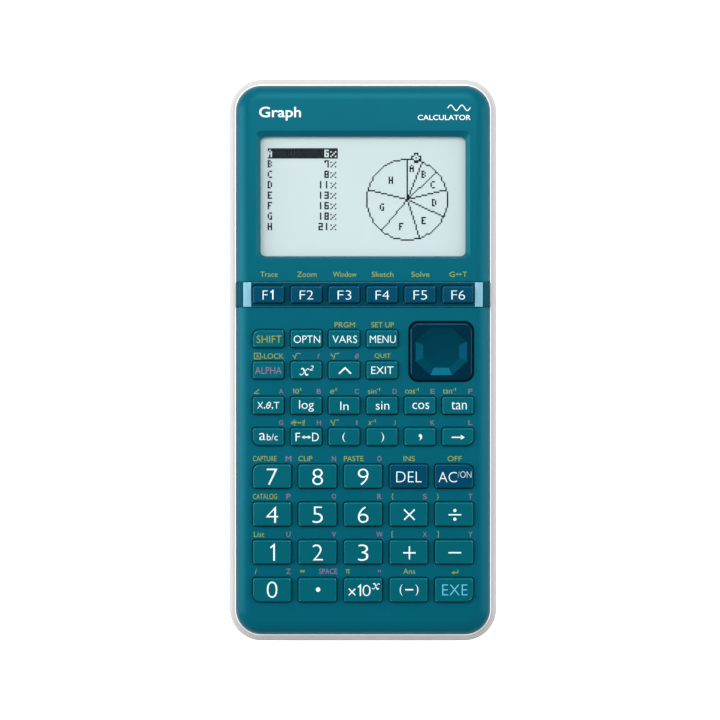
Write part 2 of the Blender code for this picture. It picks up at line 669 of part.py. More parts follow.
def make_cells():
    jacket = make_material("cell_jacket", (0.05, 0.05, 0.06), 0.3, metallic=0.5)
    pitch = 2 * CELL_RADIUS + CELL_SPACING
    middle_y = (BAY_BOTTOM_Y + BAY_TOP_Y) / 2
    middle_z = CELL_BOTTOM_Z + CELL_RADIUS
    half = CELL_LENGTH / 2
    profile = [(CELL_RADIUS, -half), (CELL_RADIUS, half - CELL_NIPPLE),
               (CELL_NIPPLE_RADIUS, half - CELL_NIPPLE), (CELL_NIPPLE_RADIUS, half)]

    def fill(mesh):
        rings = []
        for radius, along in profile:
            rings.append([(x, along, -z) for x, z in disc_outline(radius, CELL_SIDES, (0.0, 0.0))])
        add_loft(mesh, rings)

    for number in range(CELL_COUNT):
        cell = make_object(f"battery_{number + 1}", fill, jacket)
        cell.location = ((number - (CELL_COUNT - 1) / 2) * pitch, middle_y, middle_z)
        cell.rotation_euler.z = math.pi * (number % 2)


def main():
    for old in list(bpy.data.objects):
        bpy.data.objects.remove(old)
    make_rear_case()
    make_battery_cover()
    make_front_case()
    make_function_strip()
    make_display()
    make_board()
    make_key_mat()
    make_cells()
    make_pad()
    make_keys()


main()
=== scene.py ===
import math

import bmesh
import bpy
from mathutils import Matrix, Vector


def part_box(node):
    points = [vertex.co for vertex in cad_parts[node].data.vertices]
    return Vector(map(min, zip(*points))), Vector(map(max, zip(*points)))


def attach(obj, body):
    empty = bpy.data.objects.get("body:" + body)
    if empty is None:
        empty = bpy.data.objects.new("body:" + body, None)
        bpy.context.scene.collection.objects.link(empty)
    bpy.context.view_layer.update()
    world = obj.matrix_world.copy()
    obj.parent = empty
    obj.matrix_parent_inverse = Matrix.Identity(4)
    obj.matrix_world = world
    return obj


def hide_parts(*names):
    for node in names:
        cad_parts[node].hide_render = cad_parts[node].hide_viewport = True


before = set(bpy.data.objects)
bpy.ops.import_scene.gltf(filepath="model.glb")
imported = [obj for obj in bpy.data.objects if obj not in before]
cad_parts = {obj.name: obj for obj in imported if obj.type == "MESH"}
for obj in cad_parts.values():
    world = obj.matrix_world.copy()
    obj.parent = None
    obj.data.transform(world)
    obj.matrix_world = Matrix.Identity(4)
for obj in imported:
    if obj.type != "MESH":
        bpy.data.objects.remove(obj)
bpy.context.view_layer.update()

mm = 0.001
levelFace = 0.99999             # faces as level as this keep their own normals up to their border
mergeGap = 0.0001 * mm
tiny = 0.001 * mm
scene = bpy.context.scene
scene.view_settings.view_transform = "Standard"  # a plain transform, so the plastics keep their colours


studio = {
    "lens": 135,
    "sensor": 36,
    "frameWidth": 225 * mm,      # what the camera takes in, at the level of the rim
    "rimLevel": 13 * mm,
    "sideStep": -0.94 * mm,      # the calculator sits a little right of the middle
    "floorSize": 30,
    "floorColour": (0.90, 0.90, 0.90, 1),
    "floorGlow": 0.86,
    "skyLow": 0.80,              # the world's brightness near the horizon and straight up
    "skyHigh": 0.10,
    "skyFade": (0.70, 0.93),
    "skySouth": 0.35,            # how much of it is left towards the keys' end
}
lamps = [  # name, place, aim, size, watts
    ("northSoftbox", (0.0, 0.36, 0.68), (0, 0, 0), (0.34, 0.44), 2.7),
    ("leftSoftbox", (-0.70, 0.05, 0.42), (0, 0, 0), (0.45, 0.8), 4.8),
    ("rightSoftbox", (0.70, 0.05, 0.42), (0, 0, 0), (0.45, 0.8), 2.6),
]


def makeStudio(s):
    camera = bpy.data.cameras.new("camera")
    camera.lens = s["lens"]
    camera.sensor_width = s["sensor"]
    camera.clip_start = 0.01
    cameraObject = bpy.data.objects.new("camera", camera)
    distance = s["frameWidth"] * s["lens"] / s["sensor"]
    cameraObject.location = (s["sideStep"], 0, s["rimLevel"] + distance)
    scene.collection.objects.link(cameraObject)
    scene.camera = cameraObject

    bm = bmesh.new()
    bmesh.ops.create_grid(bm, x_segments=1, y_segments=1, size=s["floorSize"] / 2)
    data = bpy.data.meshes.new("floor")
    bm.to_mesh(data)
    bm.free()
    floor = bpy.data.objects.new("floor", data)
    scene.collection.objects.link(floor)
    material, shader = newMaterial("paleFloor", s["floorColour"], 0.9)
    data.materials.append(material)
    material.cycles.emission_sampling = "NONE"
    tree = material.node_tree
    seen = addNode(tree, "LightPath").outputs["Is Camera Ray"]
    tree.links.new(multiply(tree, seen, s["floorGlow"]), shader.inputs["Emission Strength"])
    shader.inputs["Emission Color"].default_value = (1, 1, 1, 1)

    world = bpy.data.worlds.new("studioWorld")
    world.use_nodes = True
    tree = world.node_tree
    parts = addNode(tree, "SeparateXYZ", {0: addNode(tree, "TexCoord").outputs["Generated"]})
    fade = addNode(tree, "MapRange", {
        "Value": parts.outputs["Z"], "From Min": s["skyFade"][0], "From Max": s["skyFade"][1],
        "To Min": s["skyLow"], "To Max": s["skyHigh"]})
    lean = addNode(tree, "MapRange", {
        "Value": parts.outputs["Y"], "From Min": -1, "From Max": 1, "To Min": s["skySouth"], "To Max": 1})
    sky = multiply(tree, fade.outputs["Result"], lean.outputs["Result"])
    seen = addNode(tree, "LightPath").outputs["Is Camera Ray"]
    shown = addNode(tree, "Mix", {0: seen, 2: sky, 3: 1.0}).outputs[0]
    tree.links.new(shown, tree.nodes["Background"].inputs["Strength"])
    tree.nodes["Background"].inputs["Color"].default_value = (1, 1, 1, 1)
    scene.world = world
    for name, place, aim, size, watts in lamps:
        light = bpy.data.lights.new(name, "AREA")
        light.shape = "RECTANGLE"
        light.size, light.size_y = size
        light.energy = watts
        lamp = bpy.data.objects.new(name, light)
        lamp.location = place
        lamp.rotation_euler = (Vector(aim) - Vector(place)).to_track_quat("-Z", "Y").to_euler()
        scene.collection.objects.link(lamp)


def newMaterial(name, colour, roughness):
    material = bpy.data.materials.new(name)
    material.use_nodes = True
    shader = material.node_tree.nodes["Principled BSDF"]
    shader.inputs["Base Color"].default_value = colour
    shader.inputs["Roughness"].default_value = roughness
    return material, shader


def addNode(tree, kind, feeds=None, **settings):  # feeds: each input's value or another node's output
    node = tree.nodes.new("ShaderNode" + kind)
    for key, value in settings.items():
        setattr(node, key, value)
    for key, value in (feeds or {}).items():
        if isinstance(value, bpy.types.NodeSocket):
            tree.links.new(value, node.inputs[key])
        else:
            node.inputs[key].default_value = value
    return node


def multiply(tree, first, second):
    return addNode(tree, "Math", {0: first, 1: second}, operation="MULTIPLY").outputs[0]


def newGroup(name, inputs, outputs):
    group = bpy.data.node_groups.new(name, "ShaderNodeTree")
    for socketName, value in inputs.items():
        kind = "NodeSocketColor" if isinstance(value, tuple) else "NodeSocketFloat"
        socket = group.interface.new_socket(socketName, in_out="INPUT", socket_type=kind)
        socket.default_value = value
    for socketName, kind in outputs.items():
        group.interface.new_socket(socketName, in_out="OUTPUT", socket_type=kind)
    return group, group.nodes.new("NodeGroupInput"), group.nodes.new("NodeGroupOutput")


# moulded finish settings; the edge mask lays a rubbed colour on sharp edges that is partly wear and partly a painted
# highlight line
wearAndHighlightShape = {
    "cloudScale": 38, "smearScale": 120, "smearTwist": 1.2,
    "edgeFrom": 0.53, "edgeFull": 0.64,           # how sharp an edge is where the rubbed colour (wear and painted edge highlight) begins and is full
    "levelFrom": 0.9995, "levelFull": 0.990,      # how far a face leans before it can take the rubbed colour and painted highlight
    "grainDepth": 0.02 * mm,
}


def makeMouldedGroup(w):
    group, inside, out = newGroup("mouldedPlastic", {
        "Colour": (0.5, 0.5, 0.5, 1), "Clouding": 0.06, "Roughness": 0.4, "Roughness Spread": 0.08,
        "Grain Scale": 2600.0, "Grain Height": 0.12, "Rubbing And Edge Highlight": 0.25, "Rubbed And Highlight Colour": (1, 1, 1, 1)},
        {"Colour": "NodeSocketColor", "Roughness": "NodeSocketFloat", "Normal": "NodeSocketVector"})
    given = inside.outputs
    place = addNode(group, "TexCoord").outputs["Object"]
    clouds = addNode(group, "TexNoise", {"Vector": place, "Scale": w["cloudScale"], "Detail": 4}).outputs["Fac"]
    grain = addNode(group, "TexNoise", {"Vector": place, "Scale": given["Grain Scale"], "Detail": 2}).outputs["Fac"]
    smears = addNode(group, "TexNoise", {"Vector": place, "Scale": w["smearScale"], "Detail": 6,
                                         "Distortion": w["smearTwist"]}).outputs["Fac"]

    cloud = addNode(group, "Math", {0: clouds, 1: 0.5}, operation="SUBTRACT").outputs[0]
    shade = addNode(group, "Math", {0: cloud, 1: given["Clouding"], 2: 1.0}, operation="MULTIPLY_ADD").outputs[0]
    tinted = addNode(group, "VectorMath", {0: given["Colour"], "Scale": shade}, operation="SCALE").outputs[0]

    geometry = addNode(group, "NewGeometry")
    edge = addNode(group, "MapRange", {"Value": geometry.outputs["Pointiness"], "From Min": w["edgeFrom"],
                                       "From Max": w["edgeFull"]}).outputs["Result"]
    parts = addNode(group, "SeparateXYZ", {0: geometry.outputs["True Normal"]})
    upright = addNode(group, "Math", {0: parts.outputs["Z"]}, operation="ABSOLUTE").outputs[0]
    leaning = addNode(group, "MapRange", {"Value": upright, "From Min": w["levelFrom"],
                                          "From Max": w["levelFull"]}).outputs["Result"]
    # sharp leaning edges get the rubbed colour: partly wear, partly a painted highlight along the edges
    wearAndHighlight = multiply(group, multiply(group, multiply(group, edge, leaning), smears), given["Rubbing And Edge Highlight"])
    colour = addNode(group, "Mix", {"Factor": wearAndHighlight, 6: tinted, 7: given["Rubbed And Highlight Colour"]}, data_type="RGBA")
    group.links.new(colour.outputs[2], out.inputs["Colour"])

    smear = addNode(group, "Math", {0: smears, 1: 0.5}, operation="SUBTRACT").outputs[0]
    rough = addNode(group, "Math", {0: smear, 1: given["Roughness Spread"], 2: given["Roughness"]},
                    operation="MULTIPLY_ADD", use_clamp=True)
    group.links.new(rough.outputs[0], out.inputs["Roughness"])
    bump = addNode(group, "Bump", {"Distance": w["grainDepth"], "Strength": given["Grain Height"], "Height": grain})
    group.links.new(bump.outputs["Normal"], out.inputs["Normal"])
    return group


satin = {"Clouding": 0.10, "Roughness": 0.34, "Roughness Spread": 0.16, "Grain Scale": 3200.0,
         "Grain Height": 0.16, "Rubbing And Edge Highlight": 0.14}
polished = {"Clouding": 0.08, "Roughness": 0.14, "Roughness Spread": 0.10, "Grain Scale": 900.0,
            "Grain Height": 0.03, "Rubbing And Edge Highlight": 0.10}
paper = {"Clouding": 0.05, "Roughness": 0.55, "Roughness Spread": 0.10, "Grain Scale": 5200.0,
         "Grain Height": 0.20, "Rubbing And Edge Highlight": 0.0}
plain = {"Metallic": 0.0, "Specular IOR Level": 0.18, "Coat Weight": 0.0, "Coat Roughness": 0.1}
tealSheen = {"Specular Tint": (0.12, 0.85, 1.0, 1)}
keySheen = {**tealSheen, "Specular IOR Level": 0.34}
plastics = {  # colour, what the moulded finish takes, what the shader takes
    "faceTeal": ((0.0008, 0.095, 0.140), {**satin, "Rubbed And Highlight Colour": (0.10, 0.33, 0.40, 1)}, keySheen),
    # on the keys the rubbed colour is turned up so it paints a light highlight line along the cap edges, beside some
    # wear
    "keyTeal": ((0.0012, 0.100, 0.134),
                {**satin, "Roughness": 0.30, "Rubbing And Edge Highlight": 1.0, "Rubbed And Highlight Colour": (0.08, 0.30, 0.38, 1)}, keySheen),
    "keyBlue": ((0.0008, 0.050, 0.104),
                {**satin, "Roughness": 0.28, "Rubbing And Edge Highlight": 1.3, "Rubbed And Highlight Colour": (0.04, 0.18, 0.28, 1)}, keySheen),
    "casePale": ((0.58, 0.575, 0.572),
                 {**satin, "Roughness": 0.38, "Clouding": 0.05, "Rubbed And Highlight Colour": (0.85, 0.9, 0.93, 1)}, {}),
    # rimPaintedHighlight is a brighter copy of the pale case plastic with a glow: a painted highlight and glow along
    # the rim's top
    "rimPaintedHighlight": ((0.93, 0.94, 0.96), satin, {"Emission Color": (0.93, 0.96, 1.0, 1), "Emission Strength": 0.36}),
    "stripBlue": ((0.0008, 0.050, 0.084),
                  {**polished, "Roughness": 0.20, "Rubbing And Edge Highlight": 0.6, "Rubbed And Highlight Colour": (0.10, 0.35, 0.45, 1)},
                  {**tealSheen, "Specular IOR Level": 0.12}),
    # stripEdgeHighlight is a lighter copy of the strip plastic for its edge bevels: a painted highlight line
    "stripEdgeHighlight": ((0.13, 0.46, 0.60), polished, {"Specular IOR Level": 0.5}),
    # facetPaintedReflection paints a light blue reflection band on the strip's shoulders
    "facetPaintedReflection": ((0.21, 0.47, 0.60), {**polished, "Rubbed And Highlight Colour": (0.5, 0.75, 0.9, 1)},
                  {"Coat Weight": 0.2, "Coat Roughness": 0.12}),
    "padBlue": ((0.0004, 0.019, 0.040), {**polished, "Roughness": 0.20, "Rubbed And Highlight Colour": (0.05, 0.22, 0.30, 1)},
                {**tealSheen, "Specular IOR Level": 0.3, "Coat Weight": 0.05}),
    # padDishSheen is a lighter, part-metal copy of the pad plastic for the dish: a painted sheen
    "padDishSheen": ((0.0006, 0.056, 0.094), {**polished, "Roughness": 0.26, "Clouding": 0.3, "Rubbing And Edge Highlight": 0.0},
                 {**tealSheen, "Specular IOR Level": 0.12, "Metallic": 0.4}),
    "displayGrey": ((0.575, 0.695, 0.708), {**paper, "Clouding": 0.04}, {}),
    "displayInk": ((0.004, 0.006, 0.010), {**paper, "Roughness": 0.6}, {"Specular IOR Level": 0.02}),
    "whiteInk": ((0.83, 0.93, 0.97), paper, {}),
    "yellowInk": ((0.28, 0.36, 0.045), paper, {}),
    "pinkInk": ((0.27, 0.15, 0.27), paper, {}),
    "blueInk": ((0.13, 0.55, 0.73), paper, {}),
    "boardGreen": ((0.012, 0.12, 0.05), {**satin, "Clouding": 0.4}, {}),
    "greyRubber": ((0.45, 0.46, 0.45), {**satin, "Roughness": 0.7}, {}),
    "cellJacket": ((0.06, 0.065, 0.075), {**polished, "Roughness": 0.3}, {"Metallic": 0.6}),
    "cellBand": ((0.30, 0.20, 0.05), {**polished, "Roughness": 0.3}, {"Coat Weight": 0.3}),
    "steel": ((0.42, 0.42, 0.43), {**satin, "Roughness": 0.3}, {"Metallic": 1.0}),
}


def makePlastic(name, colour, finish, shading):
    material, shader = newMaterial(name, (*colour, 1), finish["Roughness"])
    tree = material.node_tree
    moulded = addNode(tree, "Group", node_tree=mouldedGroup)
    for key, value in {"Colour": (*colour, 1), **finish}.items():
        moulded.inputs[key].default_value = value
    for socket, target in (("Colour", "Base Color"), ("Roughness", "Roughness"), ("Normal", "Normal")):
        tree.links.new(moulded.outputs[socket], shader.inputs[target])
    for key, value in {**plain, **shading}.items():
        shader.inputs[key].default_value = value
    return material


windowGloss = {"colour": (0.03, 0.05, 0.05, 1), "refraction": 1.45, "smudgeScale": 70, "rough": (0.03, 0.10),
               "haze": 0.02}


def makeWindowClear(w):
    material, shader = newMaterial("clearWindow", w["colour"], w["rough"][0])
    tree = material.node_tree
    smudge = addNode(tree, "TexNoise", {"Vector": addNode(tree, "TexCoord").outputs["Object"],
                                        "Scale": w["smudgeScale"], "Detail": 5}).outputs["Fac"]
    rough = addNode(tree, "MapRange", {"Value": smudge, "To Min": w["rough"][0], "To Max": w["rough"][1]})
    tree.links.new(rough.outputs["Result"], shader.inputs["Roughness"])
    gloss = addNode(tree, "Fresnel", {"IOR": w["refraction"]}).outputs["Fac"]
    cover = addNode(tree, "Math", {0: gloss, 1: w["haze"]}, operation="ADD", use_clamp=True).outputs[0]
    seen = addNode(tree, "LightPath").outputs["Is Camera Ray"]
    tree.links.new(multiply(tree, cover, seen), shader.inputs["Alpha"])
    return material


def roundedFace(bm, low, high, z, radii, steps):
    earlier = set(bm.faces)
    made = bmesh.ops.create_grid(bm, x_segments=1, y_segments=1, size=0.5)["verts"]
    middle = ((low[0] + high[0]) / 2, (low[1] + high[1]) / 2, z)
    bmesh.ops.scale(bm, vec=(high[0] - low[0], high[1] - low[1], 1), verts=made)
    bmesh.ops.translate(bm, vec=middle, verts=made)
    corners = [(low[0], low[1]), (high[0], low[1]), (high[0], high[1]), (low[0], high[1])]
    for (x, y), radius in zip(corners, radii):
        corner = min(made, key=lambda v: (v.co.x - x) ** 2 + (v.co.y - y) ** 2)
        made.remove(corner)
        bmesh.ops.bevel(bm, geom=[corner], offset=radius, offset_type="OFFSET", affect="VERTICES",
                        segments=steps, profile=0.5, material=-1)
    return next(face for face in bm.faces if face not in earlier)


def raiseFace(bm, face, height, keep=False):
    extruded = bmesh.ops.extrude_face_region(bm, geom=[face], use_keep_orig=True)["geom"]
    top = next(g for g in extruded if isinstance(g, bmesh.types.BMFace))
    if not keep:
        bmesh.ops.delete(bm, geom=[face], context="FACES_ONLY")
    bmesh.ops.translate(bm, vec=(0, 0, height), verts=top.verts)
    return top


def roundEdges(bm, face, offset, steps):
    bmesh.ops.bevel(bm, geom=list(face.edges), offset=offset, offset_type="OFFSET", affect="EDGES",
                    segments=steps, profile=0.5, clamp_overlap=True, material=-1)


def toPiece(name, bm, finishes, body, replaced=(), sharp=32, recalc=True):
    if recalc:
        bmesh.ops.recalc_face_normals(bm, faces=bm.faces)
    data = bpy.data.meshes.new(name)
    bm.to_mesh(data)
    bm.free()
    for finish in finishes:
        data.materials.append(materials[finish])
    data.shade_smooth()
    data.set_sharp_from_angle(angle=math.radians(sharp))
    for polygon in data.polygons:
        if abs(polygon.normal.z) > levelFace:
            for loop in polygon.loop_indices:
                data.edges[data.loops[loop].edge_index].use_edge_sharp = True
    piece = bpy.data.objects.new(name, data)
    scene.collection.objects.link(piece)
    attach(piece, body)
    if replaced:
        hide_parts(*replaced)


def carve(bm, steps):  # runs booleans on a bmesh and gives back a new one; steps are (operation, cutter)
    data = bpy.data.meshes.new("carved")
    bmesh.ops.recalc_face_normals(bm, faces=bm.faces)
    bm.to_mesh(data)
    bm.free()
    target = bpy.data.objects.new("carved", data)
    scene.collection.objects.link(target)
    tools = []
    for operation, cutter in steps:
        bmesh.ops.recalc_face_normals(cutter, faces=cutter.faces)
        cutterData = bpy.data.meshes.new("cutter")
        cutter.to_mesh(cutterData)
        cutter.free()
        tool = bpy.data.objects.new("cutter", cutterData)
        scene.collection.objects.link(tool)
        tools.append(tool)
        modifier = target.modifiers.new("carve", "BOOLEAN")
        modifier.operation = operation
        modifier.solver = "EXACT"
        modifier.object = tool
    bpy.context.view_layer.update()
    ready = target.evaluated_get(bpy.context.evaluated_depsgraph_get())
    result = bmesh.new()
    result.from_mesh(ready.to_mesh())
    ready.to_mesh_clear()
    for used in [target, *tools]:
        usedData = used.data
        bpy.data.objects.remove(used)
        bpy.data.meshes.remove(usedData)
    bmesh.ops.remove_doubles(result, verts=result.verts, dist=0.000001)
    return result


def boxOf(node):
    low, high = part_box(node)
    return low, high, (low + high) / 2


capShape = {
    "flangeLap": 0.55 * mm,     # what the CAD flange adds around the hole
    "clearance": 0.22 * mm,
    "flange": 1.2 * mm,
    "cornerSteps": 7,
    "corner": 1.0 * mm,
    "bigCorner": 2.4 * mm,
    "edge": 0.40 * mm,
    "edgeSteps": 5,
}
bigCorners = {  # index of the rounder corner, from the lower left anticlockwise
    "key_shift": 3, "key_fraction": 0, "key_store": 1, "key_7": 3, "key_clear_on": 2,
    "key_0": 0, "key_execute": 1,
}
functionKeys = [f"key_f{number}" for number in range(1, 7)]
darkKeys = {*functionKeys, "key_delete", "key_clear_on"}


def capRadii(node, grow):
    radii = [capShape["corner"] + grow] * 4
    if node in bigCorners:
        radii[bigCorners[node]] = capShape["bigCorner"] + grow
    return radii


def steppedSlab(low, high, corners, s):  # a flanged cap before its edges are rounded, and its top face
    bm = bmesh.new()
    flange = roundedFace(bm, low, high, low.z, corners, s["cornerSteps"])
    shoulder = raiseFace(bm, flange, s["flange"], keep=True)
    bmesh.ops.inset_region(bm, faces=[shoulder], thickness=s["flangeLap"] + s["clearance"],
                           use_even_offset=True)
    return bm, raiseFace(bm, shoulder, high.z - low.z - s["flange"])


def makeCap(node, s):
    low, high, _ = boxOf(node)
    bm, top = steppedSlab(low, high, capRadii(node, s["flangeLap"]), s)
    roundEdges(bm, top, s["edge"], s["edgeSteps"])
    finish, slotName = ("keyBlue", "key_blue") if node in darkKeys else ("keyTeal", "key_teal")
    toPiece("cap_" + node[4:], bm, [finish], node, [node])


caseShape = {
    "corner": 10 * mm,
    "cornerSteps": 22,
    "rearWall": 2.0 * mm,
    "rimLap": 0.06 * mm,        # the rim reaches this much nearer to the front case than the plain solid
    "rearFloor": 2.0 * mm,
    "bellyRound": 5.0 * mm,
    "bellySteps": 10,
    "rimRound": 1.75 * mm,
    "rimSteps": 10,
    "frontInset": 2.3 * mm,
    "skirtWall": 1.6 * mm,
    "skirtBottom": 10.5 * mm,
    "shoulderWidth": 4.4 * mm,
    "shoulderDrop": 2.9 * mm,
    "shoulderSteps": 16,
    "faceWall": 1.3 * mm,
    "lip": 0.18 * mm,
    "grooveSink": 0.6 * mm,
    "stripEdge": 0.42 * mm,
    "gap": 0.3 * mm,
    "footHeight": 0.6 * mm,
    "footRadius": 3.2 * mm,
    "footRound": 0.35 * mm,
    "cellSpace": 0.5 * mm,
    "contactSpace": 3.0 * mm,
    "bayWall": 1.0 * mm,
    "bayRoof": 0.6 * mm,
    "postRadius": 2.6 * mm,
    "postTop": 7.7 * mm,
    "bossRadius": 2.1 * mm,
    "coreRadius": 0.8 * mm,
    "headRadius": 1.9 * mm,
    "headDepth": 5.0 * mm,
    "shankRadius": 1.2 * mm,
    "ribPlaces": (-62 * mm, -30 * mm, 2 * mm),
    "ribReach": 30 * mm,
    "ribWall": 1.2 * mm,
    "ribTop": 9.5 * mm,
}
screwPlaces = [(side * x * mm, y * mm) for x, y in ((33, 79), (34, 27), (33, -79.5)) for side in (-1, 1)]
footPlaces = [(side * 28.25 * mm, end * 67.75 * mm) for side in (-1, 1) for end in (-1, 1)]
rodSides = 40


def addRod(bm, place, radius, lowZ, highZ):
    made = bmesh.ops.create_cone(bm, cap_ends=True, segments=rodSides, radius1=radius, radius2=radius,
                                 depth=highZ - lowZ)["verts"]
    bmesh.ops.translate(bm, vec=(place[0], place[1], (lowZ + highZ) / 2), verts=made)
    return made


def addBox(bm, low, high):
    made = bmesh.ops.create_cube(bm, size=1)["verts"]
    bmesh.ops.scale(bm, vec=[b - a for a, b in zip(low, high)], verts=made)
    bmesh.ops.translate(bm, vec=[(a + b) / 2 for a, b in zip(low, high)], verts=made)


def shoulderedSolid(s, grow, bottomZ):  # the front case's outside as a closed solid, moved outwards by grow
    low, high, _ = boxOf("front_case")
    corner = s["corner"] - s["frontInset"] + grow
    bm = bmesh.new()
    flat = roundedFace(bm, (low.x - grow, low.y - grow), (high.x + grow, high.y + grow), bottomZ,
                       [corner] * 4, s["cornerSteps"])
    topZ = high.z + grow
    top = raiseFace(bm, flat, topZ - bottomZ, keep=True)
    width = s["shoulderWidth"] + grow
    drop = s["shoulderDrop"] + grow
    roundEdges(bm, top, width, s["shoulderSteps"])
    for vert in bm.verts:
        if vert.co.z > bottomZ + 0.1 * mm:
            vert.co.z = topZ - (topZ - vert.co.z) * drop / width
    return bm


def flaredHole(bm, low, high, radii, steps, faceZ, bottomZ, lip):
    grownLow = (low[0] - lip, low[1] - lip)
    grownHigh = (high[0] + lip, high[1] + lip)
    rim = roundedFace(bm, grownLow, grownHigh, faceZ, [radius + lip for radius in radii], steps)
    raiseFace(bm, rim, 2 * mm, keep=True)
    below = min(bm.faces, key=lambda f: abs(f.calc_center_median().z - faceZ)
                + (f.calc_center_median().xy - Vector(((low[0] + high[0]) / 2, (low[1] + high[1]) / 2))).length)
    bmesh.ops.inset_region(bm, faces=[below], thickness=lip, use_even_offset=True)
    bmesh.ops.translate(bm, vec=(0, 0, -lip), verts=below.verts)
    raiseFace(bm, below, bottomZ - (faceZ - lip))


def keyHoles(nodes, s, faceZ, bottomZ):
    bm = bmesh.new()
    for node in nodes:
        low, high, _ = boxOf(node)
        lap = capShape["flangeLap"]
        flaredHole(bm, (low.x + lap, low.y + lap), (high.x - lap, high.y - lap), capRadii(node, 0.0),
                   capShape["cornerSteps"], faceZ, bottomZ, s["lip"])
    return bm


padShape = {
    "flangeLap": 0.5 * mm, "clearance": 0.3 * mm, "corner": 3.0 * mm, "flange": 0.5 * mm,
    "draft": 0.25 * mm, "edge": 0.55 * mm, "edgeSteps": 5, "cornerSteps": 12,
    "ringWidth": 16.0 * mm, "ringLength": 14.6 * mm, "floorWidth": 11.2 * mm, "floorLength": 10.1 * mm,
    "dish": 0.8 * mm, "cone": 0.25 * mm,
}
windowShape = {
    "width": 63.8 * mm, "length": 37.2 * mm, "corner": 1.6 * mm, "cornerSteps": 8,
    "slopeSide": 1.4 * mm, "slopeTop": 1.8 * mm, "slopeBottom": 0.7 * mm,
}


def windowCutter(w, s, faceZ):
    _, _, middle = boxOf("display_window")
    half = Vector((w["width"] / 2, w["length"] / 2))
    bm = bmesh.new()
    under = faceZ - s["faceWall"]
    face = roundedFace(bm, (middle.x - half.x, middle.y - half.y), (middle.x + half.x, middle.y + half.y),
                       under - 1 * mm, [w["corner"]] * 4, w["cornerSteps"])
    floor = raiseFace(bm, face, 1 * mm, keep=True)
    brim = raiseFace(bm, floor, s["faceWall"])
    centre = Vector((middle.x, middle.y, faceZ))
    shift = (w["slopeTop"] - w["slopeBottom"]) / 2
    growX = 1 + 2 * w["slopeSide"] / w["width"]
    growY = 1 + (w["slopeTop"] + w["slopeBottom"]) / w["length"]
    for vert in brim.verts:
        offset = vert.co - centre
        vert.co = centre + Vector((offset.x * growX, offset.y * growY + shift, 0))
    raiseFace(bm, brim, 1 * mm)
    return bm


def boxCutter(low, high):
    bm = bmesh.new()
    addBox(bm, low, high)
    return bm


def makeFrontCase(s):
    low, high, _ = boxOf("front_case")
    stripLow, stripHigh, _ = boxOf("function_strip")
    rimZ = stripLow.z - s["gap"]
    inset = s["skirtWall"]
    skirtZ = s["skirtBottom"]
    shell = shoulderedSolid(s, 0.0, skirtZ)
    cavity = bmesh.new()
    corner = s["corner"] - s["frontInset"] - inset
    face = roundedFace(cavity, (low.x + inset, low.y + inset), (high.x - inset, high.y - inset),
                       skirtZ - inset, [corner] * 4, 10)
    top = raiseFace(cavity, face, high.z - s["faceWall"] - skirtZ + inset, keep=True)
    roundEdges(cavity, top, s["shoulderWidth"] - inset, 3)
    pad = boxOf("cursor_pad")
    lap = padShape["flangeLap"]
    holes = keyHoles([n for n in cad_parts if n.startswith("key_") and n != "key_mat"], s, high.z,
                     high.z - 3 * mm)
    flaredHole(holes, (pad[0].x + lap, pad[0].y + lap), (pad[1].x - lap, pad[1].y - lap),
               [padShape["corner"]] * 4, padShape["cornerSteps"], high.z, high.z - 3 * mm, s["lip"])
    inner = shoulderedSolid(s, -s["grooveSink"], skirtZ - mm)
    groove = boxCutter((-1.2 * high.x, stripLow.y - s["gap"], rimZ),
                       (1.2 * high.x, stripHigh.y + s["gap"], high.z + 2 * mm))
    groove = carve(groove, [("DIFFERENCE", inner)])
    bosses = bmesh.new()
    cores = bmesh.new()
    for place in screwPlaces:
        addRod(bosses, place, s["bossRadius"], low.z, high.z - s["faceWall"] + s["gap"])
        addRod(cores, place, s["coreRadius"], low.z - 1 * mm, high.z - 2 * s["faceWall"])
    bm = carve(shell, [
        ("DIFFERENCE", cavity), ("UNION", bosses), ("DIFFERENCE", groove), ("DIFFERENCE", holes),
        ("DIFFERENCE", windowCutter(windowShape, s, high.z)), ("DIFFERENCE", cores)])
    toPiece("faceShell", bm, ["faceTeal"], "case", ["front_case"], recalc=False)


def outerBelly(s, rimRound):  # the rear case's outside, with its rim rounded or left sharp
    low, high, _ = boxOf("rear_case")
    belly = low.z + s["footHeight"]
    bm = bmesh.new()
    face = roundedFace(bm, low, high, belly, [s["corner"]] * 4, s["cornerSteps"])
    top = raiseFace(bm, face, high.z - belly, keep=True)
    if rimRound:
        roundEdges(bm, top, rimRound, s["rimSteps"])
    bottom = min(bm.faces, key=lambda f: f.calc_center_median().z)
    roundEdges(bm, bottom, s["bellyRound"], s["bellySteps"])
    return bm, low, high, belly


